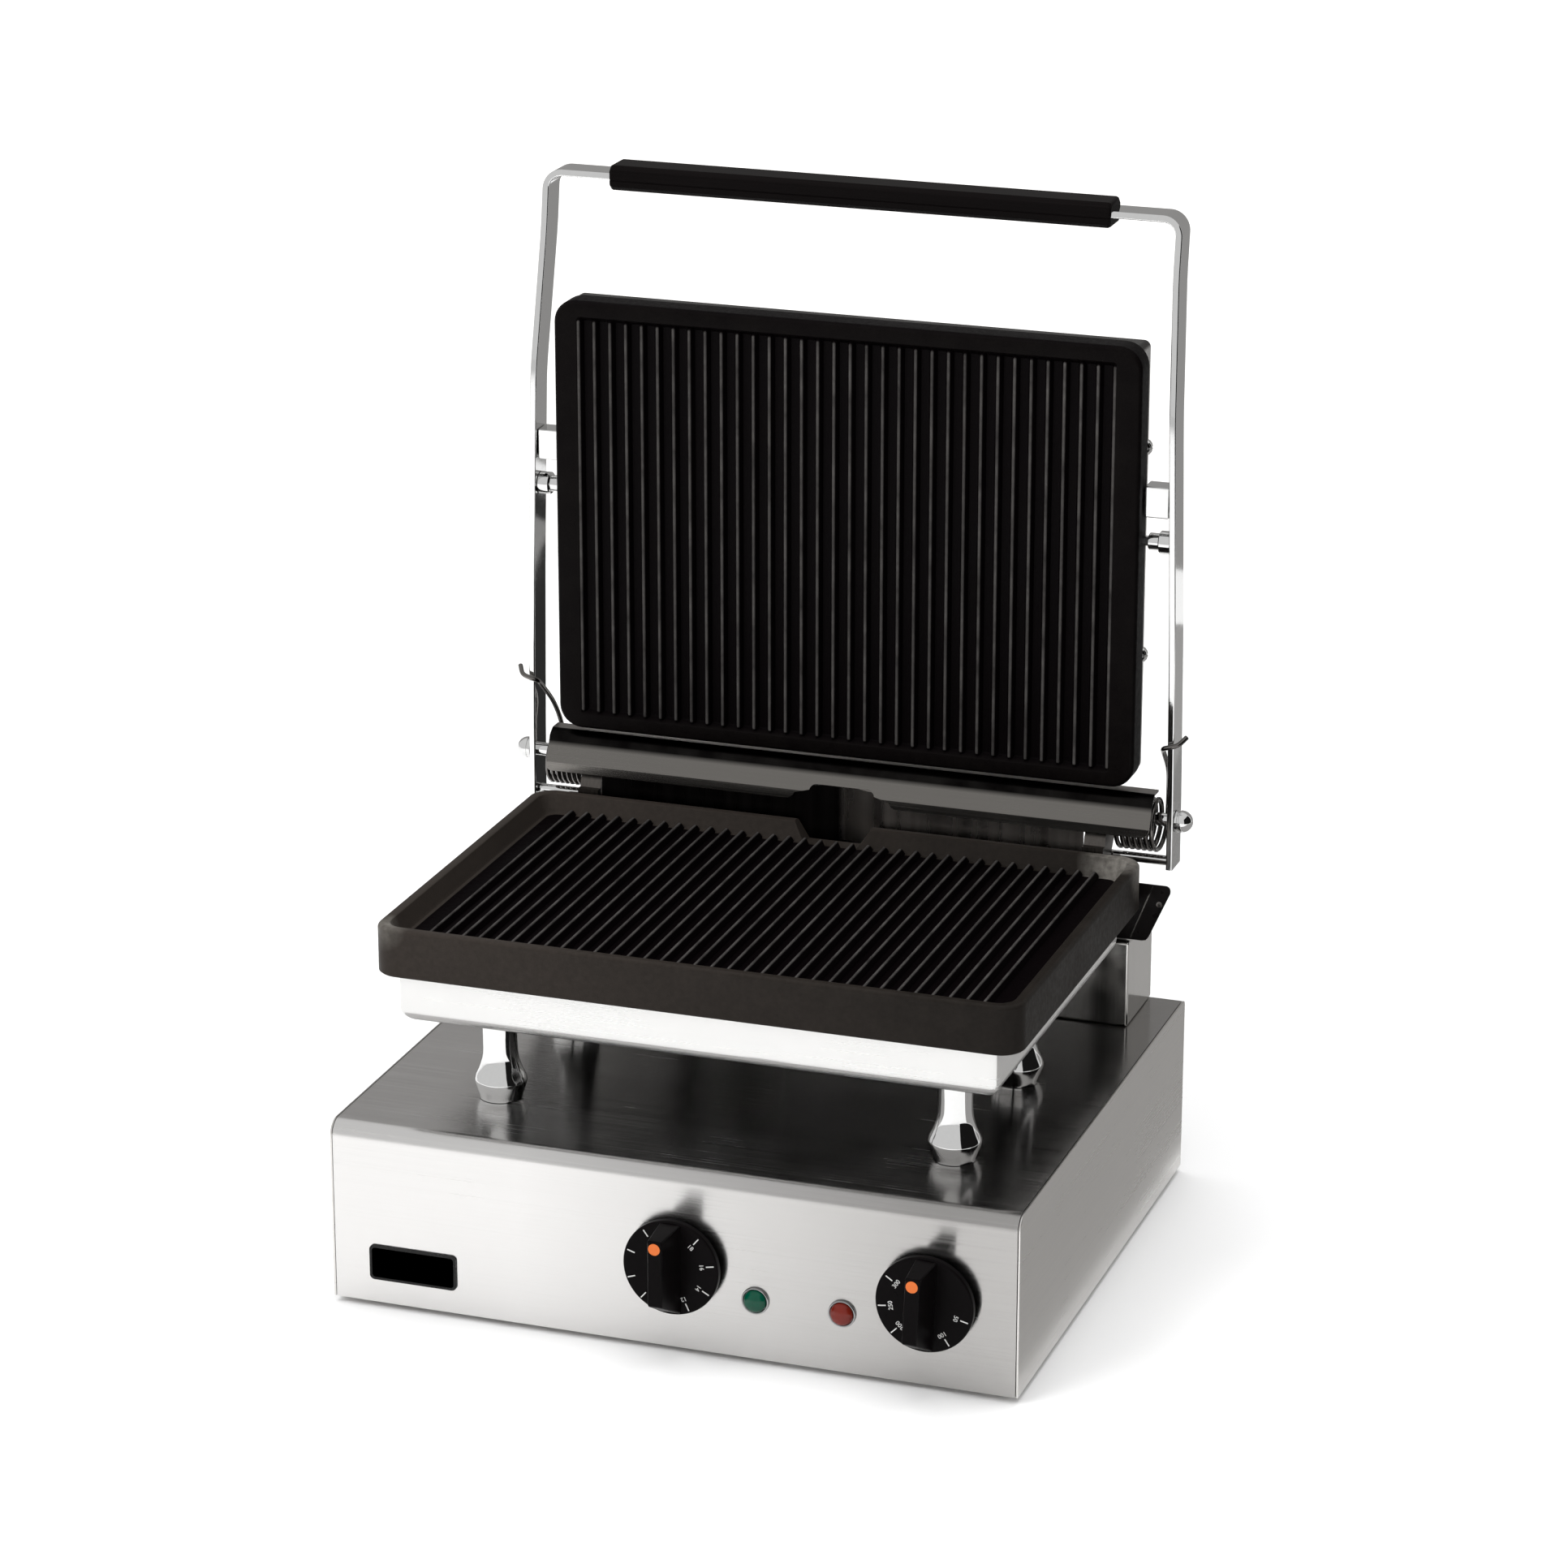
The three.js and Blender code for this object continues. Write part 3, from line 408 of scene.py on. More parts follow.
# The heater casing is painted near-black along its bottom 0.5 to 2.2 mm: painted shade on its underside.
LOWER_CASING = graded("heater_casing_steel", (0.02, 0.018, 0.016), (0.74, 0.735, 0.725), 2, CASING_BASE + 0.5,
                      CASING_BASE + 2.2, 0.24, 0.75, 0.02, (5, 5, 700), 0.06, 0.5, tone=0.06)
# The housing wrap is painted darker from the left (x = -90 mm) to the right (x = 150 mm): painted shade.
BRUSHED = graded("brushed_wrap", (0.71, 0.7, 0.69), (0.41, 0.4, 0.39), 0, -90, 150, 0.2, 1, 0.03, (3, 900, 900),
                 0.03, 0.5, 0.85, 0.05)
UPPER_CASING_TOP = span("upper_casing")[1].z
# The platen casing is painted near-black along its top 2 to 4 mm: a painted reflection.
UPPER_STEEL = graded("brushed_upper", (0.62, 0.615, 0.605), (0.02, 0.018, 0.017), 2, UPPER_CASING_TOP - 4,
                     UPPER_CASING_TOP - 2, 0.28, 1, 0.02, ALONG_Z, 0.08, 0.5, tone=0.06)
# The hinge cover is painted near-black higher than 12 mm above the hinge axis: a painted reflection on its shoulder,
# not a heat tint.
COVER_STEEL = graded("cover_sheet_painted_reflection", (0.195, 0.185, 0.172), (0.004, 0.0035, 0.0035), 2, HINGE.z + 9,
                     HINGE.z + 12, 0.24, 1, 0.05, ALONG_X, 0.08, 0.5, tone=0.12)
# The grease chute is painted near-black left of x = -3 mm and bright right of x = 1 mm: a painted reflection, dark on
# the left wing and light on the right.
CHUTE_STEEL = graded("chute_sheet_painted_reflection", (0.03, 0.026, 0.026), (0.5, 0.46, 0.43), 0, -3, 1, 0.3, 1, 0.1,
                     (150, 150, 3), 0.06, 0.5)

# ---------------------------------------------------------------- base housing

BEND = 9.5
REAR_BEND = 3


def housing_outline(low, high, inset=0):
    """Side view of the bent housing, as (y, z) points."""
    y0, z0, y1, z1 = low.y, low.z, high.y, high.z
    return [
        (y0 + inset, z0),
        *arc(y0 + BEND, z1 - BEND, BEND - inset, 180, 90, 12),
        *arc(y1 - REAR_BEND, z1 - REAR_BEND, REAR_BEND - inset, 90, 0, 5),
        (y1 - inset, z0),
    ]


def build_housing():
    low, high = span("housing_wrap")
    outline = [*housing_outline(low, high), *reversed(housing_outline(low, high, SHEET))]
    piece("housing_shell", [prism(outline, "x", low.x, high.x)], BRUSHED, "base", "stainless",
          ["housing_wrap"], bevel=0.2, segments=2)
    for side in ("left", "right"):
        low, high = span(f"side_panel_{side}")
        piece(f"housing_side_{side}", [prism(housing_outline(low, high), "x", low.x, high.x)],
              SIDE_STEEL, "base", "stainless", [f"side_panel_{side}"], bevel=0.35)
    for row in ("front", "rear"):
        for side in ("left", "right"):
            node = f"foot_{row}_{side}"
            low, high = span(node)
            centre = (low + high) / 2
            r = (high.x - low.x) / 2
            profile = [(0, 0.6), (r - 7, 0.6), (r - 6, 0), (r - 3, 0), *arc(r - 2.6, 1, 1, -90, 0, 4),
                       (r, high.z - low.z), (0, high.z - low.z)]
            piece(f"rubber_{node}", [lathe(profile, "z", (centre.x, centre.y, low.z))], RUBBER, "base",
                  "rubber", [node])


# ---------------------------------------------------------------- controls


def text_solid(body, size, thickness):
    """Raised figures in the x-y plane, centred on the origin, in mm."""
    curve = bpy.data.curves.new("figures", "FONT")
    curve.body = body
    curve.size = size
    curve.extrude = thickness / 2
    curve.align_x = "CENTER"
    curve.align_y = "CENTER"
    curve.resolution_u = 3
    holder = bpy.data.objects.new("figures", curve)
    bpy.context.scene.collection.objects.link(holder)
    bpy.context.view_layer.update()
    mesh = holder.evaluated_get(bpy.context.evaluated_depsgraph_get()).to_mesh()
    solid = [tuple(v.co) for v in mesh.vertices], [tuple(p.vertices) for p in mesh.polygons]
    bpy.data.objects.remove(holder)
    return solid


def moved(solid, matrix):
    verts, faces = solid
    return [tuple(matrix @ Vector(v)) for v in verts], faces


def dial_marks(centre, face_y, r, figures, ticks):
    """Ticks round a knob's skirt, with figures beside some of them. Angles run clockwise from the top."""
    solids = []
    towards_front = Matrix.Rotation(math.radians(90), 4, "X")
    place = Matrix.Translation((centre.x, face_y, centre.z))
    for angle in ticks:
        turn = Matrix.Rotation(math.radians(angle), 4, "Y")
        solids.append(moved(box(-0.32, 0.32, -0.12, 0.12, r - 6.4, r - 1.8), place @ turn))
    for angle, body in figures:
        turn = Matrix.Rotation(math.radians(angle), 4, "Y")
        figure = moved(text_solid(body, 3.7, 0.24), towards_front)
        solids.append(moved(figure, place @ turn @ Matrix.Translation((0, 0, r - 9.2))))
    return solids


def build_knob(name, angle, figures, ticks):
    """angle is how far the pointer is turned clockwise at rest, in degrees."""
    node = f"{name}_knob"
    low, high = span(node)
    centre = joint(f"{name}_turn")
    front, back = low.y, high.y
    r = 28.3
    face, rear = 8.3, 3
    skirt = [(0, 0), (20, 0), (20, rear), (r - 0.5, rear), (r, rear + 0.5), *arc(r - 1.4, face - 1.9, 1.4, 0, 70, 5),
             (r - 3, face - 0.35), (r - 12, face - 0.05), (0, face)]
    disc = lathe(skirt, "-y", (0, 0, 0), 96)
    depth = back - front
    level = [(depth - 0.15, 3.6, 25.6, 12.0), (depth - 0.7, 4.1, 26.2, 12.9), (depth - 1.6, 4.3, 26.6, 13.8),
             (face - 0.3, 6.2, r - 1.4, r - 1.6)]
    rings = []
    for out, half, up, down in level:
        rings.append([(x, -out, z) for x, z in rounded_rect(-half, half, -down, up, 0.9, 3)])
    bar = loft(rings)
    turn = Matrix.Translation((centre.x, back, centre.z)) @ Matrix.Rotation(math.radians(angle), 4, "Y")
    piece(f"{name}_grip_knob", [moved(disc, turn), moved(bar, turn)], PLASTIC, f"{name}_knob",
          "black_plastic", [node], smooth=40)
    dot = moved(lathe([(0, 0), (3.5, 0), (3.5, 0.5), (3.3, 0.65), (0, 0.65)], "-y", (0, 0, 0), 32),
                turn @ Matrix.Translation((0, 0.66 - depth, 22)))
    piece(f"{name}_pointer_dot", [dot], ORANGE, f"{name}_knob", "black_plastic")
    marks = dial_marks(Vector((0, 0, 0)), -face - 0.02, r, figures, ticks)
    piece(f"{name}_dial_print", [moved(m, turn) for m in marks], PRINT, f"{name}_knob", "black_plastic")


def build_lamp(colour, lens_material):
    low, high = span(f"{colour}_lamp_lens")
    centre = (low + high) / 2
    r = (high.x - low.x) / 2
    out = -(low.y - span("housing_wrap")[0].y)
    at = (centre.x, span("housing_wrap")[0].y, centre.z)
    dome = [(r * math.cos(math.radians(a)), 1.4 + (out - 1.4) * math.sin(math.radians(a)))
            for a in range(0, 91, 10)]
    lens = [(0, -14), (4.8, -14), (4.8, 0.3), (r, 0.3), *dome[:-1], (0, out)]
    piece(f"{colour}_lamp_dome", [lathe(lens, "-y", at)], lens_material, "base", f"{colour}_lens",
          [f"{colour}_lamp_lens"])
    ring = [(r + 0.1, 0.3), (r + 1.4, 0.3), (r + 1.4, 0.9), *arc(r + 0.8, 1.2, 0.6, 0, 180, 6), (r + 0.1, 0.3)]
    piece(f"{colour}_lamp_ring", [lathe(ring, "-y", at)], BEZEL_CHROME, "base", "chrome", [f"{colour}_lamp_bezel"])


def build_badge():
    low, high = span("badge_plate")
    edge = rounded_rect(low.x, high.x, low.z, high.z, 3, 8)
    plate = prism(edge, "y", low.y + 0.25, high.y)
    inner = rounded_rect(low.x + 1.6, high.x - 1.6, low.z + 1.6, high.z - 1.6, 2, 8)
    ring = loft([[(x, y, z) for x, z in edge] for y in (low.y + 0.25, low.y)])
    piece("badge", [plate, ring], BADGE, "base", "black_plastic", ["badge_plate"],
          cuts=[prism(inner, "y", low.y - 1, low.y + 0.25)], bevel=0.1, segments=2)


# ---------------------------------------------------------------- pillars and pedestal


def build_stand():
    for row in ("front", "rear"):
        for side in ("left", "right"):
            node = f"pillar_{row}_{side}"
            low, high = span(node)
            centre = (low + high) / 2
            height = high.z - low.z
            keys = [(12.5, 0), (12.8, 1.5), (14.5, 6.5), (15.35, 10.2), (14.7, 13), (12.3, 18.5),
                    (10.6, 25), (10.0, 34), (9.9, height)]
            profile = [(0, 0), *[tuple(p) for p in curve_through([Vector(k) for k in keys], 6)], (0, height)]
            piece(f"turned_{node}", [lathe(profile, "z", (centre.x, centre.y, low.z), 64)], CHROME, "base",
                  "chrome", [node], smooth=50)
    low, high = span("pedestal")
    piece("rear_pedestal", [box(low.x, high.x, low.y, high.y, low.z, high.z)], POLISHED, "base",
          "polished_stainless", ["pedestal"], bevel=1.6, segments=4)


# ---------------------------------------------------------------- lower plate and its casing


def pan_ring(x0, x1, y0, y1, z, inset, corner, steps=6):
    return [(x, y, z) for x, y in
            rounded_rect(x0 + inset, x1 - inset, y0 + inset, y1 - inset, max(corner, 0.6), steps)]


def build_lower_casing():
    low, high = span("lower_casing")
    bend, corner = 9, 3.2
    edges = (low.x, high.x, low.y, high.y)
    outer = [pan_ring(*edges, low.z + bend + s, bend - c, corner) for c, s in arc(0, 0, bend, 270, 360, 10)]
    outer.append(pan_ring(*edges, high.z, 0, corner))
    inner = [pan_ring(*edges, high.z, SHEET, corner - SHEET),
             pan_ring(*edges, low.z + bend, SHEET, corner - SHEET),
             pan_ring(*edges, low.z + SHEET, bend, corner - SHEET)]
    piece("heater_casing", [loft(outer + inner)], LOWER_CASING, "base", "stainless", ["lower_casing"])


RIB_PITCH = 10
RIB_COUNT = 34
RIB_HEIGHT = 4


def rib_section(half_root, half_crest, height, steps=5):
    """Half-rounded rib in (across, up) points, standing on zero."""
    r = 0.85
    lean = math.degrees(math.atan2(half_root - half_crest, height))
    right = [(half_root, -1), (half_root, 0), *arc(half_crest - r, height - r, r, lean, 90, steps)]
    return [*right, *[(-a, b) for a, b in reversed(right)]]


def ribs(place, start, end, lead=4):
    """All the ribs of a plate: place(across, along, up) gives the point in space."""
    solids = []
    section = rib_section(2.5, 1.0, RIB_HEIGHT)
    for i in range(RIB_COUNT):
        middle = (i - (RIB_COUNT - 1) / 2) * RIB_PITCH
        rings = []
        for along, rise in ((start, 0.15), (start + lead * 0.5, 0.7), (start + lead, 1),
                            (end - lead, 1), (end - lead * 0.5, 0.7), (end, 0.15)):
            rings.append([place(middle + a, along, b * rise if b > 0 else b) for a, b in section])
        solids.append(loft(rings))
    return solids


def build_lower_plate():
    low, high = span("lower_plate")
    edges = (low.x, high.x, low.y, high.y)
    floor = high.z - 11.5
    rim, corner = 7, 14
    rings = [pan_ring(*edges, low.z, 1.0, corner - 0.6, 8), pan_ring(*edges, low.z + 1, 0, corner, 8)]
    rings += [pan_ring(*edges, high.z - 2.4 + s, 2.4 - c, corner - (2.4 - c) * 0.6, 8)
              for c, s in arc(0, 0, 2.4, 0, 90, 5)]
    inside = [(high.z, rim - 1.6, 4), (high.z - 0.5, rim - 0.5, 4.4), (high.z - 1.8, rim, 4.6),
              (floor + 2, rim + 3, 6), (floor + 0.5, rim + 4, 6.6), (floor, rim + 6, 7.5)]
    rings += [pan_ring(*edges, z, inset, corner - less, 8) for z, inset, less in inside]
    body = mesh_object("ribbed_plate_lower", [loft(rings)])
    notch_floor = high.z - 12.1
    notch = prism([(-16.5, notch_floor), (16.5, notch_floor), (24, high.z + 0.1), (24, high.z + 5),
                   (-24, high.z + 5), (-24, high.z + 0.1)], "y", high.y - rim - 6, high.y + 5)
    hollow = box(low.x + 27, high.x - 27, low.y + 27, high.y - 27, low.z - 2, floor - 8)
    combine(body, [notch, hollow])
    grid = mesh_object("rib_set", ribs(lambda a, b, c: (a, b, floor + c), low.y + rim + 2, high.y - rim - 2))
    combine(grid, [loft([pan_ring(*edges, floor - 2, rim + 5, 7, 8), pan_ring(*edges, floor + 0.05, rim + 5, 7, 8)])],
            "UNION")
    combine(grid, [prism([(-17, floor - 3), (17, floor - 3), (20, high.z), (-20, high.z)], "y",
                         high.y - rim - 6, high.y)])
    dress(body, LOWER_IRON, "base", "cast_iron", ["lower_plate"], bevel=0.5, segments=2, smooth=40)
    dress(grid, LOWER_RIBS, "base", "cast_iron", smooth=40)


# ---------------------------------------------------------------- hinge, springs, cover, chute


SPRING_COILS = {"left": (167.6, 190.5), "right": (169.5, 194.8)}
SPRING_WIRE = 1.45


def spring_path(name, side):
    """Centre line of a torsion spring: coils, then a leg that hooks round the front of the arm."""
    coil_r, sag, turns, per_turn = 15, 3.5, 7, 28
    x0, x1 = SPRING_COILS[name]
    y, z = HINGE.y, HINGE.z
    points = []
    for i in range(turns * per_turn + 1):
        t = i / (turns * per_turn)
        a = math.tau * turns * (1 - t)
        points.append((side * (x0 + (x1 - x0) * t), y + coil_r * math.cos(a),
                       z - sag - coil_r * math.sin(a)))
    outer = bow_half_width(z + 50)
    front = BOW_Y - BOW_DEPTH / 2 - 2.5
    keys = [(x1, y + coil_r, z - sag), (x1 + 0.4, y + coil_r - 0.8, z + 12),
            (x1 + (outer - 6 - x1) * 0.5, y + coil_r - 6, z + 28), (outer - 6.9, y - 4, z + 43),
            (outer - 5.8, front + 1.2, z + 47), (outer - 2, front - 0.5, z + 48.8),
            (outer + 3, front + 0.6, z + 50.5), (outer + 6.7, front + 6, z + 53.9)]
    leg = curve_through([(side * x, py, pz) for x, py, pz in keys], 8)
    return points + [tuple(p) for p in leg[2:]]


def build_hinge():
    low, high = span("hinge_shaft")
    shaft = lathe([(0, 0), (3.4, 0), (4, 0.6), (4, high.x - low.x - 0.6), (3.4, high.x - low.x),
                   (0, high.x - low.x)], "x", (low.x, HINGE.y, HINGE.z), 32)
    piece("hinge_rod", [shaft], CHROME, "base", "chrome", ["hinge_shaft"])
    for name, side in (("left", -1), ("right", 1)):
        low, high = span(f"cap_nut_{name}")
        reach = high.x - low.x
        inner = low.x if side > 0 else high.x
        r = (high.z - low.z) / 2
        profile = [(0, 0), (r, 0), (r, 1.2), (r - 0.5, 1.5), (r - 0.5, 2.2), (r, 2.6),
                   *arc(0, reach - r, r, 0, 85, 12), (0, reach)]
        piece(f"dome_nut_{name}", [lathe(profile, "x" if side > 0 else "-x", (inner, HINGE.y, HINGE.z), 48)],
              CHROME, "base", "chrome", [f"cap_nut_{name}"])
        piece(f"return_spring_{name}", [sweep(spring_path(name, side), circle(SPRING_WIRE), (0, 0, 1))],
              SPRING_STEEL, "lid_handle", "stainless", [f"hinge_spring_{name}"])
    build_cover()
    build_chute()


def build_cover():
    """Folded sheet: narrow top, sloping front, and a short lip below a crease, notched in the middle."""
    low, high = span("hinge_cover")
    y, z = HINGE.y, HINGE.z
    crease = low.z + 5.7
    strip_height = 0.1

    def line(inset):
        return [(high.y, high.z - strip_height - inset), *arc(y, z, 20.7 - inset, 117, 135, 8),
                (low.y + 0.5 + inset, crease + 0.2), (low.y + 0.3 + inset, crease - 0.3), (low.y + inset, low.z)]

    sheet = prism([*line(0), *reversed(line(SHEET))], "x", low.x, high.x)
    middle = (low.x + high.x) / 2 - 0.55
    wide, foot, top, r = 20.5, 29, 240, 4.5
    right = [(foot + 8, low.z - 4), (foot + 6, low.z - 0.01), *arc(foot + 6, low.z + 5.5, 5.5, 270, 196, 6),
             *arc(wide - r, top - r, r, 12, 90, 6)]
    opening = prism([(middle + a, b) for a, b in [*right, *[(-a, b) for a, b in reversed(right)]]], "y",
                    low.y - 7, low.y + 9)
    corner = prism([(high.x + 1, low.z - 1), (high.x - 6, low.z - 1), (high.x - 6, low.z),
                    *arc(high.x - 6, low.z + 6, 6, 270, 360, 8), (high.x + 1, low.z + 6)], "y",
                   low.y - 5, low.y + 5)
    left = prism([(low.x - 1, low.z - 1), (low.x + 3, low.z - 1), (low.x + 3, low.z),
                  *reversed(arc(low.x + 3, low.z + 3, 3, 180, 270, 6)), (low.x - 1, low.z + 3)], "y",
                 low.y - 5, low.y + 5)
    # A 0.1 mm layer over the cover's flat top, in its own tone: a painted reflection on the top face.
    strip = box(low.x, high.x, y - 9.2, high.y, high.z - strip_height, high.z)
    piece("hinge_hood_strip", [strip], COVER_STRIP, "base", "dark_steel")
    piece("hinge_hood", [sheet], COVER_STEEL, "base", "dark_steel", ["hinge_cover"],
          cuts=[opening, corner, left], bevel=0.25, segments=2)


def build_chute():
    low, high = span("grease_chute")
    closer_to_brackets = 2.4
    low.x, high.x = low.x - closer_to_brackets, high.x + closer_to_brackets
    mouth, r = 26, 1.5
    front = [(low.x, low.y), (-mouth - r, low.y), (-mouth + r, low.y + r * 0.4), (-r, high.y - SHEET - r * 0.5),
             (0, high.y - SHEET - r * 0.25), (r, high.y - SHEET - r * 0.5), (mouth - r, low.y + r * 0.4),
             (mouth + r, low.y), (high.x, low.y)]
    outline = front + [(x, y + SHEET) for x, y in reversed(front)]
    piece("grease_spout", [prism(outline, "z", low.z, high.z)], CHUTE_STEEL, "base", "polished_stainless",
          ["grease_chute"], bevel=0.2, segments=2)


# ---------------------------------------------------------------- grease tray


def build_tray():
    """A pan behind a wider front sheet with slanted ends, each with a folded edge and a rivet; the fold is shown by a
    bright strip, a painted highlight.
    """
    low, high = span("grease_tray")
    y0, y1, z0, z1 = low.y, high.y, low.z, high.z
    half, foot, top = 170, high.x - 13.5, high.x
    rings = []
    for inset, z in ((1.5, z0), (0, z0 + 1.5), (0, z1), (SHEET, z1), (SHEET, z0 + SHEET + 1.5),
                     (SHEET + 1.5, z0 + SHEET)):
        edge = rounded_rect(-half + inset, half - inset, y0 + 0.3 + inset, y1 - inset, 4, 6)
        rings.append([(x, y, z) for x, y in edge])
    right = [(foot - 3, z0 + 0.3), (foot - 0.6, z0 + 0.9), (foot + 1, z0 + 3), (top, z1 - 4.5),
             *arc(top - 3, z1 - 3, 3, 5, 90, 6)]
    front = prism([*right, *[(-x, z) for x, z in reversed(right)]], "y", y0 + 0.3, y0 + 0.3 + SHEET)
    fold_highlights_and_rivets = []
    for side in (-1, 1):
        # A strip of bright steel along each slanted fold: a painted highlight where the fold catches light.
        fold = [(foot - 10.4, z0 + 1.5), (foot - 9.6, z0 + 1.5), (top - 10, z1 - 0.6), (top - 10.8, z1 - 0.6)]
        fold_highlights_and_rivets.append(prism([(side * x, z) for x, z in fold], "y", y0, y0 + 0.6))
        rivet = [(0, 0), (2, 0), (1.8, 0.25), (1, 0.3), (0, 0.3)]
        fold_highlights_and_rivets.append(lathe(rivet, "-y", (side * (top - 6.5), y0 + 0.3, z1 - 12), 20))
    pan = mesh_object("drip_tray", [loft(rings)])
    combine(pan, [front], "UNION")
    dress(pan, ENAMEL, "grease_tray", "black_enamel", ["grease_tray"], bevel=0.2, segments=2)
    # The fold strips are a painted highlight; the rivets are steel heads.
    piece("drip_tray_edging", fold_highlights_and_rivets, SPRING_STEEL, "grease_tray", "black_enamel")


# ---------------------------------------------------------------- lid


BOW_SIDES = [(207.2, 204.2), (250, 204), (350, 202.6), (470, 199.7), (560, 196.2)]
BOW_Y, BOW_DEPTH, BOW_THICK = 156, 19, 4


def bow_half_width(z):
    """Half the bow's outside width at a height."""
    z = min(max(z, BOW_SIDES[0][0]), BOW_SIDES[-1][0])
    for (z0, w0), (z1, w1) in zip(BOW_SIDES, BOW_SIDES[1:]):
        if z <= z1:
            return w0 + (w1 - w0) * (z - z0) / (z1 - z0)


def lean_at(z, bend_z=475, lean=0.147, blend=12):
    above = z - bend_z
    if above <= -blend:
        return 0
    if above >= blend:
        return above * lean
    return lean * (above + blend) ** 2 / (4 * blend)


def bar_section(thickness, width, r, steps=4):
    return rounded_rect(-thickness / 2, thickness / 2, -width / 2, width / 2, r, steps)


def build_lid():
    low, high = span("handle_bow")
    top = high.z - BOW_THICK / 2
    r = 12 - BOW_THICK / 2
    heights = [low.z + (455 - low.z) * i / 24 for i in range(25)]
    heights += [455 + (495 - 455) * i / 12 for i in range(1, 13)]
    heights += [495 + (top - r - 495) * i / 9 for i in range(1, 9)]
    x = bow_half_width(high.z) - BOW_THICK / 2
    right = [(bow_half_width(z) - BOW_THICK / 2, z) for z in heights] + arc(x - r, top - r, r, 0, 90, 14)
    line = right + [(-a, b) for a, b in reversed(right)]
    rings = []
    for i, (a, b) in enumerate(line):
        before, after = Vector(line[max(i - 1, 0)]), Vector(line[min(i + 1, len(line) - 1)])
        along = (after - before).normalized()
        across = Vector((along.y, -along.x))
        ring = []
        for s, w in bar_section(BOW_THICK, BOW_DEPTH, 0.9):
            px, pz = a + across.x * s, max(b + across.y * s, low.z)
            ring.append((px, BOW_Y + w + lean_at(pz), pz))
        rings.append(ring)
    piece("handle_bar", [loft(rings)], CHROME, "lid_handle", "chrome", ["handle_bow"])
    build_grip()
    low, high = span("cross_rod")
    length = high.x - low.x
    profile = [(0, 0), (2.5, 0), (3, 0.5), (3, length - 0.5), (2.5, length), (0, length)]
    piece("tie_rod", [lathe(profile, "x", (low.x, (low.y + high.y) / 2, (low.z + high.z) / 2), 24)], CHROME,
          "lid_handle", "chrome", ["cross_rod"])
    build_pivots()


def build_grip():
    low, high = span("handle_grip")
    half_w, half_h = (high.y - low.y) / 2, (high.z - low.z) / 2
    cy, cz = (high.y + low.y) / 2, (high.z + low.z) / 2
    rings = []
    for x, inset in ((low.x, 1.6), (low.x + 0.6, 0.6), (low.x + 2, 0), (high.x - 2, 0), (high.x - 0.6, 0.6),
                     (high.x, 1.6)):
        w, h = half_w - inset, half_h - inset
        bevel, g = 2.5, 0.5
        ring = [(-w, -h + bevel), (-w + bevel, -h), (w - bevel, -h), (w, -h + bevel), (w, h - bevel),
                (w - bevel, h), (-w + bevel, h), (-w, h - bevel), (-w, -h * 0.22 + g), (-w + g * 1.4, -h * 0.22),
                (-w, -h * 0.22 - g)]
        rings.append([(x, cy + a, cz + b) for a, b in ring])
    piece("grip_bar", [loft(rings)], GRIP_PLASTIC, "lid_handle", "black_plastic", ["handle_grip"],
          bevel=0.5, segments=3, smooth=25)


def build_pivots():
    for name, side in (("left", -1), ("right", 1)):
        low, high = span(f"tilt_pin_{name}")
        outer = high.x if side > 0 else low.x
        profile = [(0, 0), (6.8, 0), (6.8, 6.4), (6.2, 7), (5, 7.2), (5, 13.1), (4.6, 13.5), (3, 13.5), (3, 25),
                   (0, 25)]
        piece(f"pivot_pin_{name}", [lathe(profile, "-x" if side > 0 else "x", (outer, TILT.y, TILT.z), 40)],
              CHROME, "lid_handle", "chrome", [f"tilt_pin_{name}"])
        low, high = span(f"tilt_stop_{name}")
        x0, x1 = (high.x - 14.7, high.x) if side > 0 else (low.x, low.x + 14.7)
        stub = (low.x, low.x + 16) if side > 0 else (high.x - 16, high.x)
        middle = (low.z + high.z) / 2
        pin = lathe([(0, 0), (2, 0), (2, stub[1] - stub[0]), (0, stub[1] - stub[0])], "x",
                    (stub[0], TILT.y, middle), 24)
        piece(f"stop_block_{name}", [box(x0, x1, low.y, high.y, low.z, high.z), pin], CHROME, "lid_handle",
              "chrome", [f"tilt_stop_{name}"], bevel=0.8)


# ---------------------------------------------------------------- upper platen


def upright_ring(x0, x1, z0, z1, y, inset, corner, steps=8):
    return [(x, y, z) for x, z in
            rounded_rect(x0 + inset, x1 - inset, z0 + inset, z1 - inset, max(corner, 0.6), steps)]


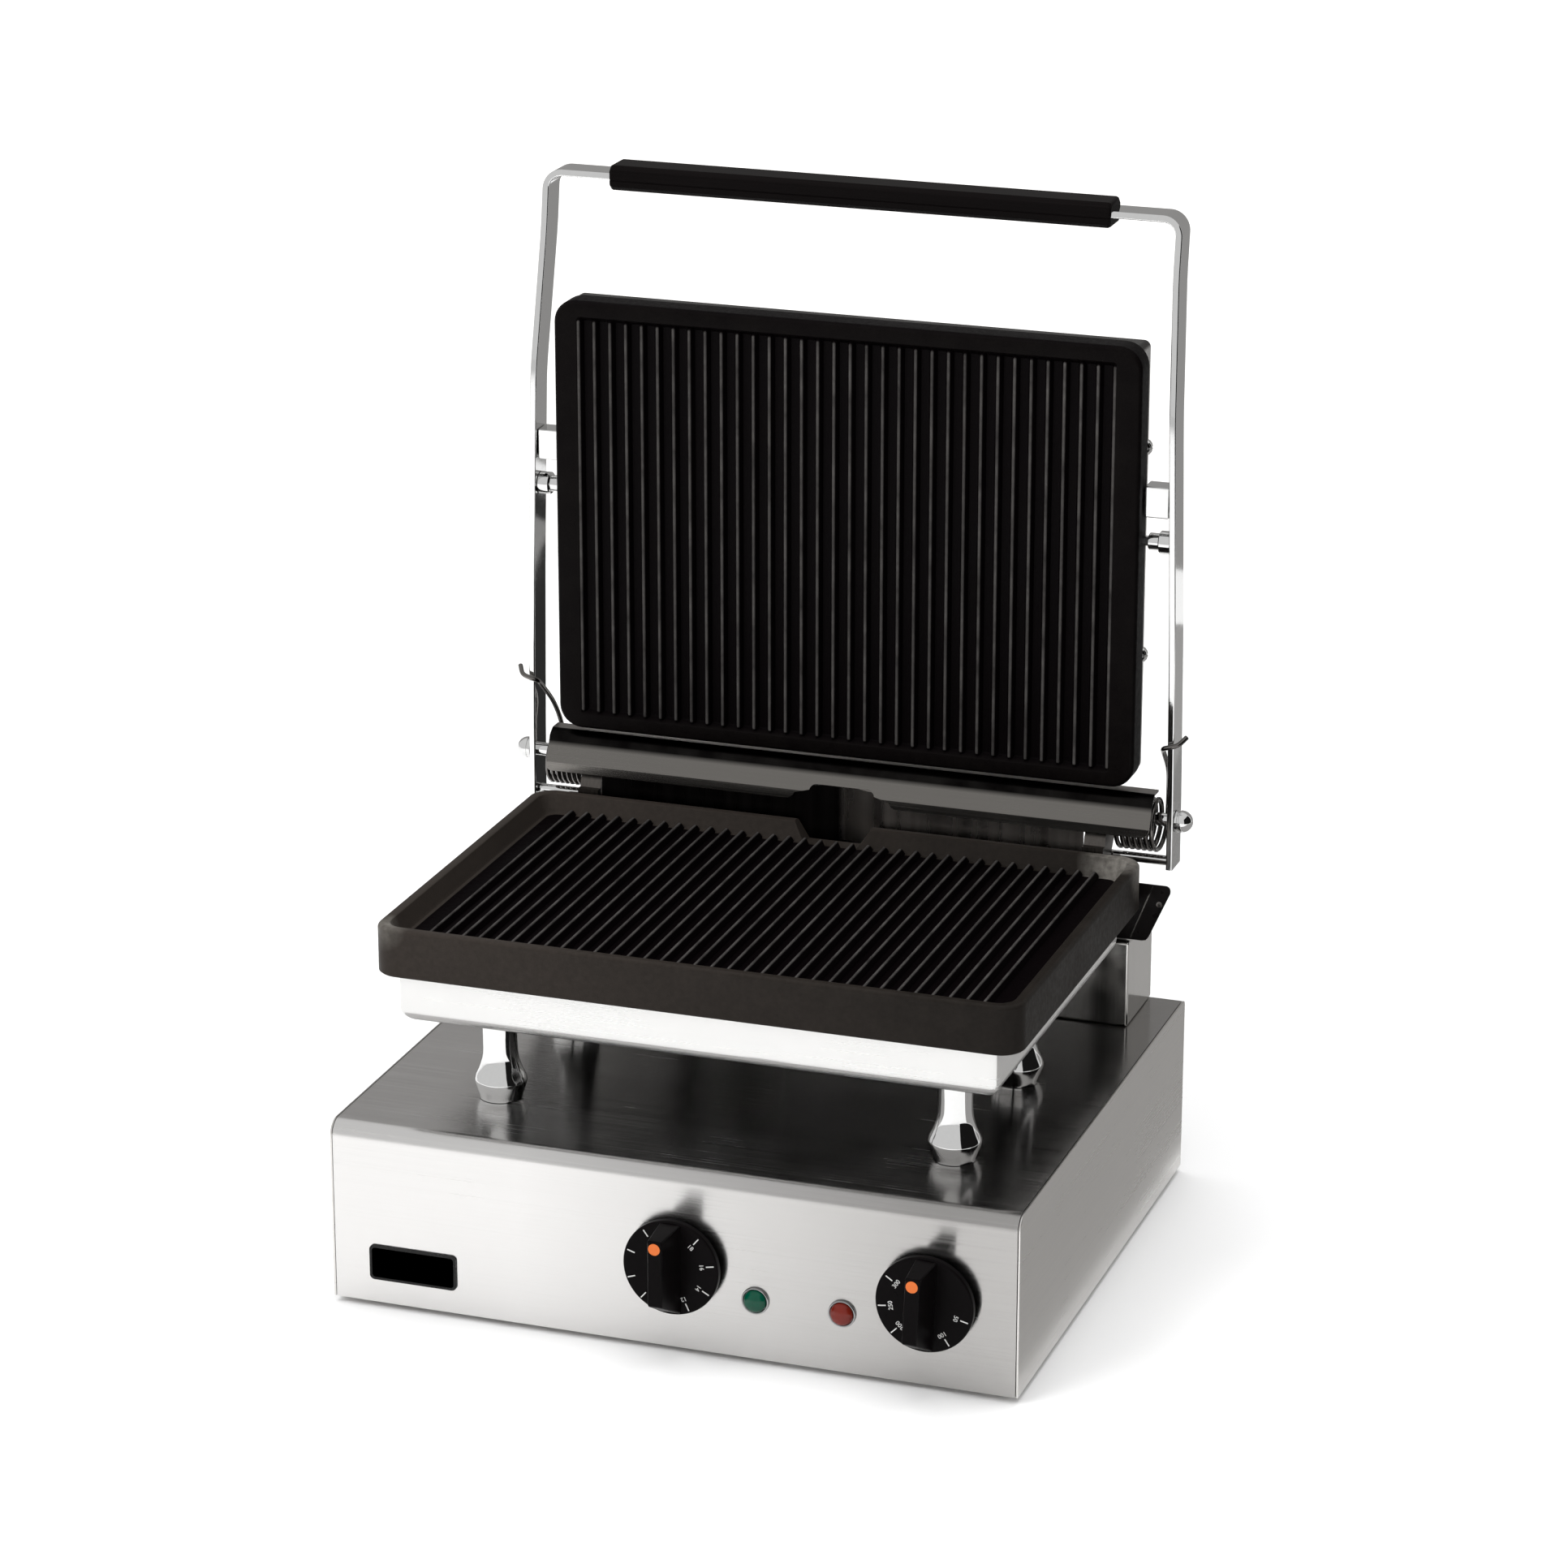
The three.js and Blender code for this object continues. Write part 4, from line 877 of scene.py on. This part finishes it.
def build_platen():
    low, high = span("upper_plate")
    edges = (low.x, high.x, low.z, high.z)
    face, back, corner, margin = low.y, high.y, 14, 9
    rings = [upright_ring(*edges, back, 0.5, corner - 0.5), upright_ring(*edges, back - 0.5, 0, corner)]
    rings += [upright_ring(*edges, face + depth, inset, corner - inset * 0.6)
              for inset, depth in ((0, 3), (0.45, 1.9), (1.2, 1), (2.4, 0))]
    inner = (low.x + 14.6, high.x - 14.6, low.z + margin, high.z - margin)
    rings += [upright_ring(*inner, face, 0, 2.4), upright_ring(*inner, face + 0.5, 0.6, 2),
              upright_ring(*inner, face + RIB_HEIGHT - 0.5, 2.8, 1.5),
              upright_ring(*inner, face + RIB_HEIGHT, 3.6, 1.2)]
    body = mesh_object("ribbed_plate_upper", [loft(rings)])
    combine(body, [box(low.x + 13, high.x - 13, back - 6, back + 2, low.z + 13, high.z - 13)])
    dress(body, UPPER_IRON, "upper_platen", "cast_iron", ["upper_plate"], bevel=0.4, segments=2, smooth=40)
    start, end = low.z + margin + 0.5, high.z - margin - 0.5
    grid = mesh_object("rib_set_upper",
                       ribs(lambda a, b, c: (a, face + RIB_HEIGHT - c, b), start, end, lead=3))
    dress(grid, UPPER_RIBS, "upper_platen", "cast_iron", smooth=40)
    low, high = span("upper_casing")
    edges = (low.x, high.x, low.z, high.z)
    corner, bend = 4, 2.8
    rings = [upright_ring(*edges, low.y, 0, corner)]
    rings += [upright_ring(*edges, high.y - bend + s, bend - c, corner) for c, s in arc(0, 0, bend, 0, 90, 8)]
    stub_low, stub_high = span("tilt_stop_left")
    stub = (stub_low.z + stub_high.z) / 2
    reach = high.x + 5
    pin_hole = lathe([(0, 0), (3.4, 0), (3.4, 2 * reach), (0, 2 * reach)], "x", (-reach, TILT.y, TILT.z), 32)
    stub_slot = box(-reach, reach, TILT.y - 2.4, TILT.y + 4.7, stub - 2.7, stub + 2.7)
    piece("platen_casing", [loft(rings)], UPPER_STEEL, "upper_platen", "stainless", ["upper_casing"],
          cuts=[box(low.x + SHEET, high.x - SHEET, low.y - 3, high.y - 3, low.z + SHEET, high.z - SHEET),
                pin_hole, stub_slot])
    for row in ("lower", "upper"):
        for name, side in (("left", -1), ("right", 1)):
            node = f"casing_screw_{row}_{name}"
            low, high = span(node)
            seat = span("upper_casing")[1].x * side
            profile = [(0, -6), (2, -6), (2, 0.2), (5, 0.2), (4.9, 0.9), (4.2, 2.4), (2.8, 3.6), (1.4, 4.1),
                       (0, 4.2)]
            at = (seat, (low.y + high.y) / 2, (low.z + high.z) / 2)
            slot_cut = box(seat + side * 4.6 - 1.6, seat + side * 4.6 + 1.6, at[1] - 6, at[1] + 6,
                           at[2] - 0.6, at[2] + 0.6)
            piece(f"slotted_{node}", [lathe(profile, "x" if side > 0 else "-x", at, 32)], CHROME,
                  "upper_platen", "chrome", [node], cuts=[slot_cut])


# ---------------------------------------------------------------- CAD nodes that stay as they are


def paint_frame_nodes():
    looks = {
        "bottom_plate": SIDE_STEEL, "hinge_bracket_left": BRACKET_STEEL, "hinge_bracket_right": BRACKET_STEEL,
        "lower_heating_element": SHEATH, "upper_heating_element": SHEATH,
        "lower_insulation_board": FIBRE, "upper_insulation_board": FIBRE,
        "timer_unit": FIBRE, "thermostat_unit": FIBRE, "terminal_block": CERAMIC,
        "timer_shaft": CHROME, "thermostat_shaft": CHROME, "thermostat_bulb": CHROME,
        "cable_gland": PLASTIC,
    }
    for node, material in looks.items():
        mesh = bpy.data.objects[node].data
        mesh.materials.clear()
        mesh.materials.append(material)


# ---------------------------------------------------------------- studio


def flat_material(name, colour):
    material = bpy.data.materials.new(name)
    material.use_nodes = True
    shader = material.node_tree.nodes["Principled BSDF"]
    shader.inputs["Base Color"].default_value = (*colour, 1)
    shader.inputs["Roughness"].default_value = 0.9
    shader.inputs["Specular IOR Level"].default_value = 0
    return material


def glow(name, level):
    """Even light of its own, for studio cards and the backdrop."""
    material = bpy.data.materials.new(name)
    material.use_nodes = True
    nodes = material.node_tree.nodes
    shader = nodes["Principled BSDF"]
    shader.inputs["Base Color"].default_value = (0, 0, 0, 1)
    shader.inputs["Specular IOR Level"].default_value = 0
    shader.inputs["Emission Color"].default_value = (1, 0.985, 0.97, 1)
    shader.inputs["Emission Strength"].default_value = level
    return material


def card(name, corners, level, in_picture=False):
    """A studio card: either seen only in reflections or only by the camera."""
    obj = mesh_object(name, [([tuple(c) for c in corners], [(0, 1, 2, 3)])])
    obj.data.materials.append(glow(name, level))
    obj.visible_camera = in_picture
    obj.visible_glossy = not in_picture
    obj.visible_diffuse = False
    obj.visible_shadow = False


def area_light(name, location, target, size, power):
    """A soft light that no reflection shows: the cards do that."""
    light = bpy.data.lights.new(name, "AREA")
    light.shape = "RECTANGLE"
    light.size, light.size_y = size
    light.energy = power
    obj = bpy.data.objects.new(name, light)
    bpy.context.scene.collection.objects.link(obj)
    obj.location = location
    obj.visible_glossy = False
    obj.rotation_euler = (Vector(target) - Vector(location)).to_track_quat("-Z", "Y").to_euler()


def build_studio():
    half = 20000
    floor = mesh_object("floor", [([(-half, -half, 0), (half, -half, 0), (half, half, 0), (-half, half, 0)],
                                   [(0, 1, 2, 3)])])
    floor.data.materials.append(flat_material("pale_floor", (0.9, 0.9, 0.9)))
    near = 1300
    for name, x0, x1, y0, y1 in (("rear", -half, half, near, half), ("front", -half, half, -half, -near),
                                 ("left", -half, -near, -near, near), ("right", near, half, -near, near)):
        card(f"white_floor_{name}", [(x0, y0, 1), (x1, y0, 1), (x1, y1, 1), (x0, y1, 1)], 1.3, True)
    card("grey_card_behind", [(-3000, 1400, 20), (1500, 1400, 20), (1500, 1400, 1900), (-3000, 1400, 1900)], 0.33)
    card("grey_card_floor", [(215, -150, 2), (1200, -150, 2), (1200, 1300, 2), (215, 1300, 2)], 0.4)
    card("dark_card_behind", [(-300, 650, 2), (420, 650, 2), (420, 1380, 2), (-300, 1380, 2)], 0.03)
    card("dark_card_right", [(1300, -1300, 5), (1300, 900, 5), (1300, 900, 1500), (1300, -1300, 1500)], 0.01)
    area_light("key", (-1.6, -2.2, 2.6), (0, 0, 0.2), (1.8, 1.4), 60)
    area_light("top", (0.2, 0.2, 2.6), (0, 0, 0.1), (2.2, 2.2), 45)
    world = bpy.data.worlds.new("studio")
    world.use_nodes = True
    world.node_tree.nodes["Background"].inputs["Color"].default_value = (1, 1, 1, 1)
    world.node_tree.nodes["Background"].inputs["Strength"].default_value = 0.75
    bpy.context.scene.world = world
    bpy.context.scene.view_settings.view_transform = "Standard"


def build_camera():
    azimuth, elevation, distance = math.radians(19.27), math.radians(19.14), 2.93066
    target = Vector((0.01629, -0.010, 0.2913))
    back = Vector((math.sin(azimuth) * math.cos(elevation), -math.cos(azimuth) * math.cos(elevation),
                   math.sin(elevation)))
    data = bpy.data.cameras.new("camera")
    data.lens = 118.17
    data.sensor_width = 36
    camera = bpy.data.objects.new("camera", data)
    bpy.context.scene.collection.objects.link(camera)
    camera.rotation_mode = "QUATERNION"
    camera.location = target + back * distance
    camera.rotation_quaternion = (-back).to_track_quat("-Z", "Y")
    bpy.context.scene.camera = camera


build_camera()
build_studio()
build_housing()
build_knob("timer", 0, [(40, "18"), (79, "16"), (119, "14"), (155, "12")],
           [40, 79, 119, 155, 187, 221, 251, 288, 324])
build_knob("thermostat", 2.5, [(102, "50"), (143, "100"), (222, "200"), (260, "250"), (302, "300")],
           [102, 143, 183, 222, 260, 302])
build_lamp("green", GREEN)
build_lamp("red", RED)
build_badge()
build_stand()
build_lower_casing()
build_lower_plate()
build_hinge()
build_tray()
build_lid()
build_platen()
paint_frame_nodes()
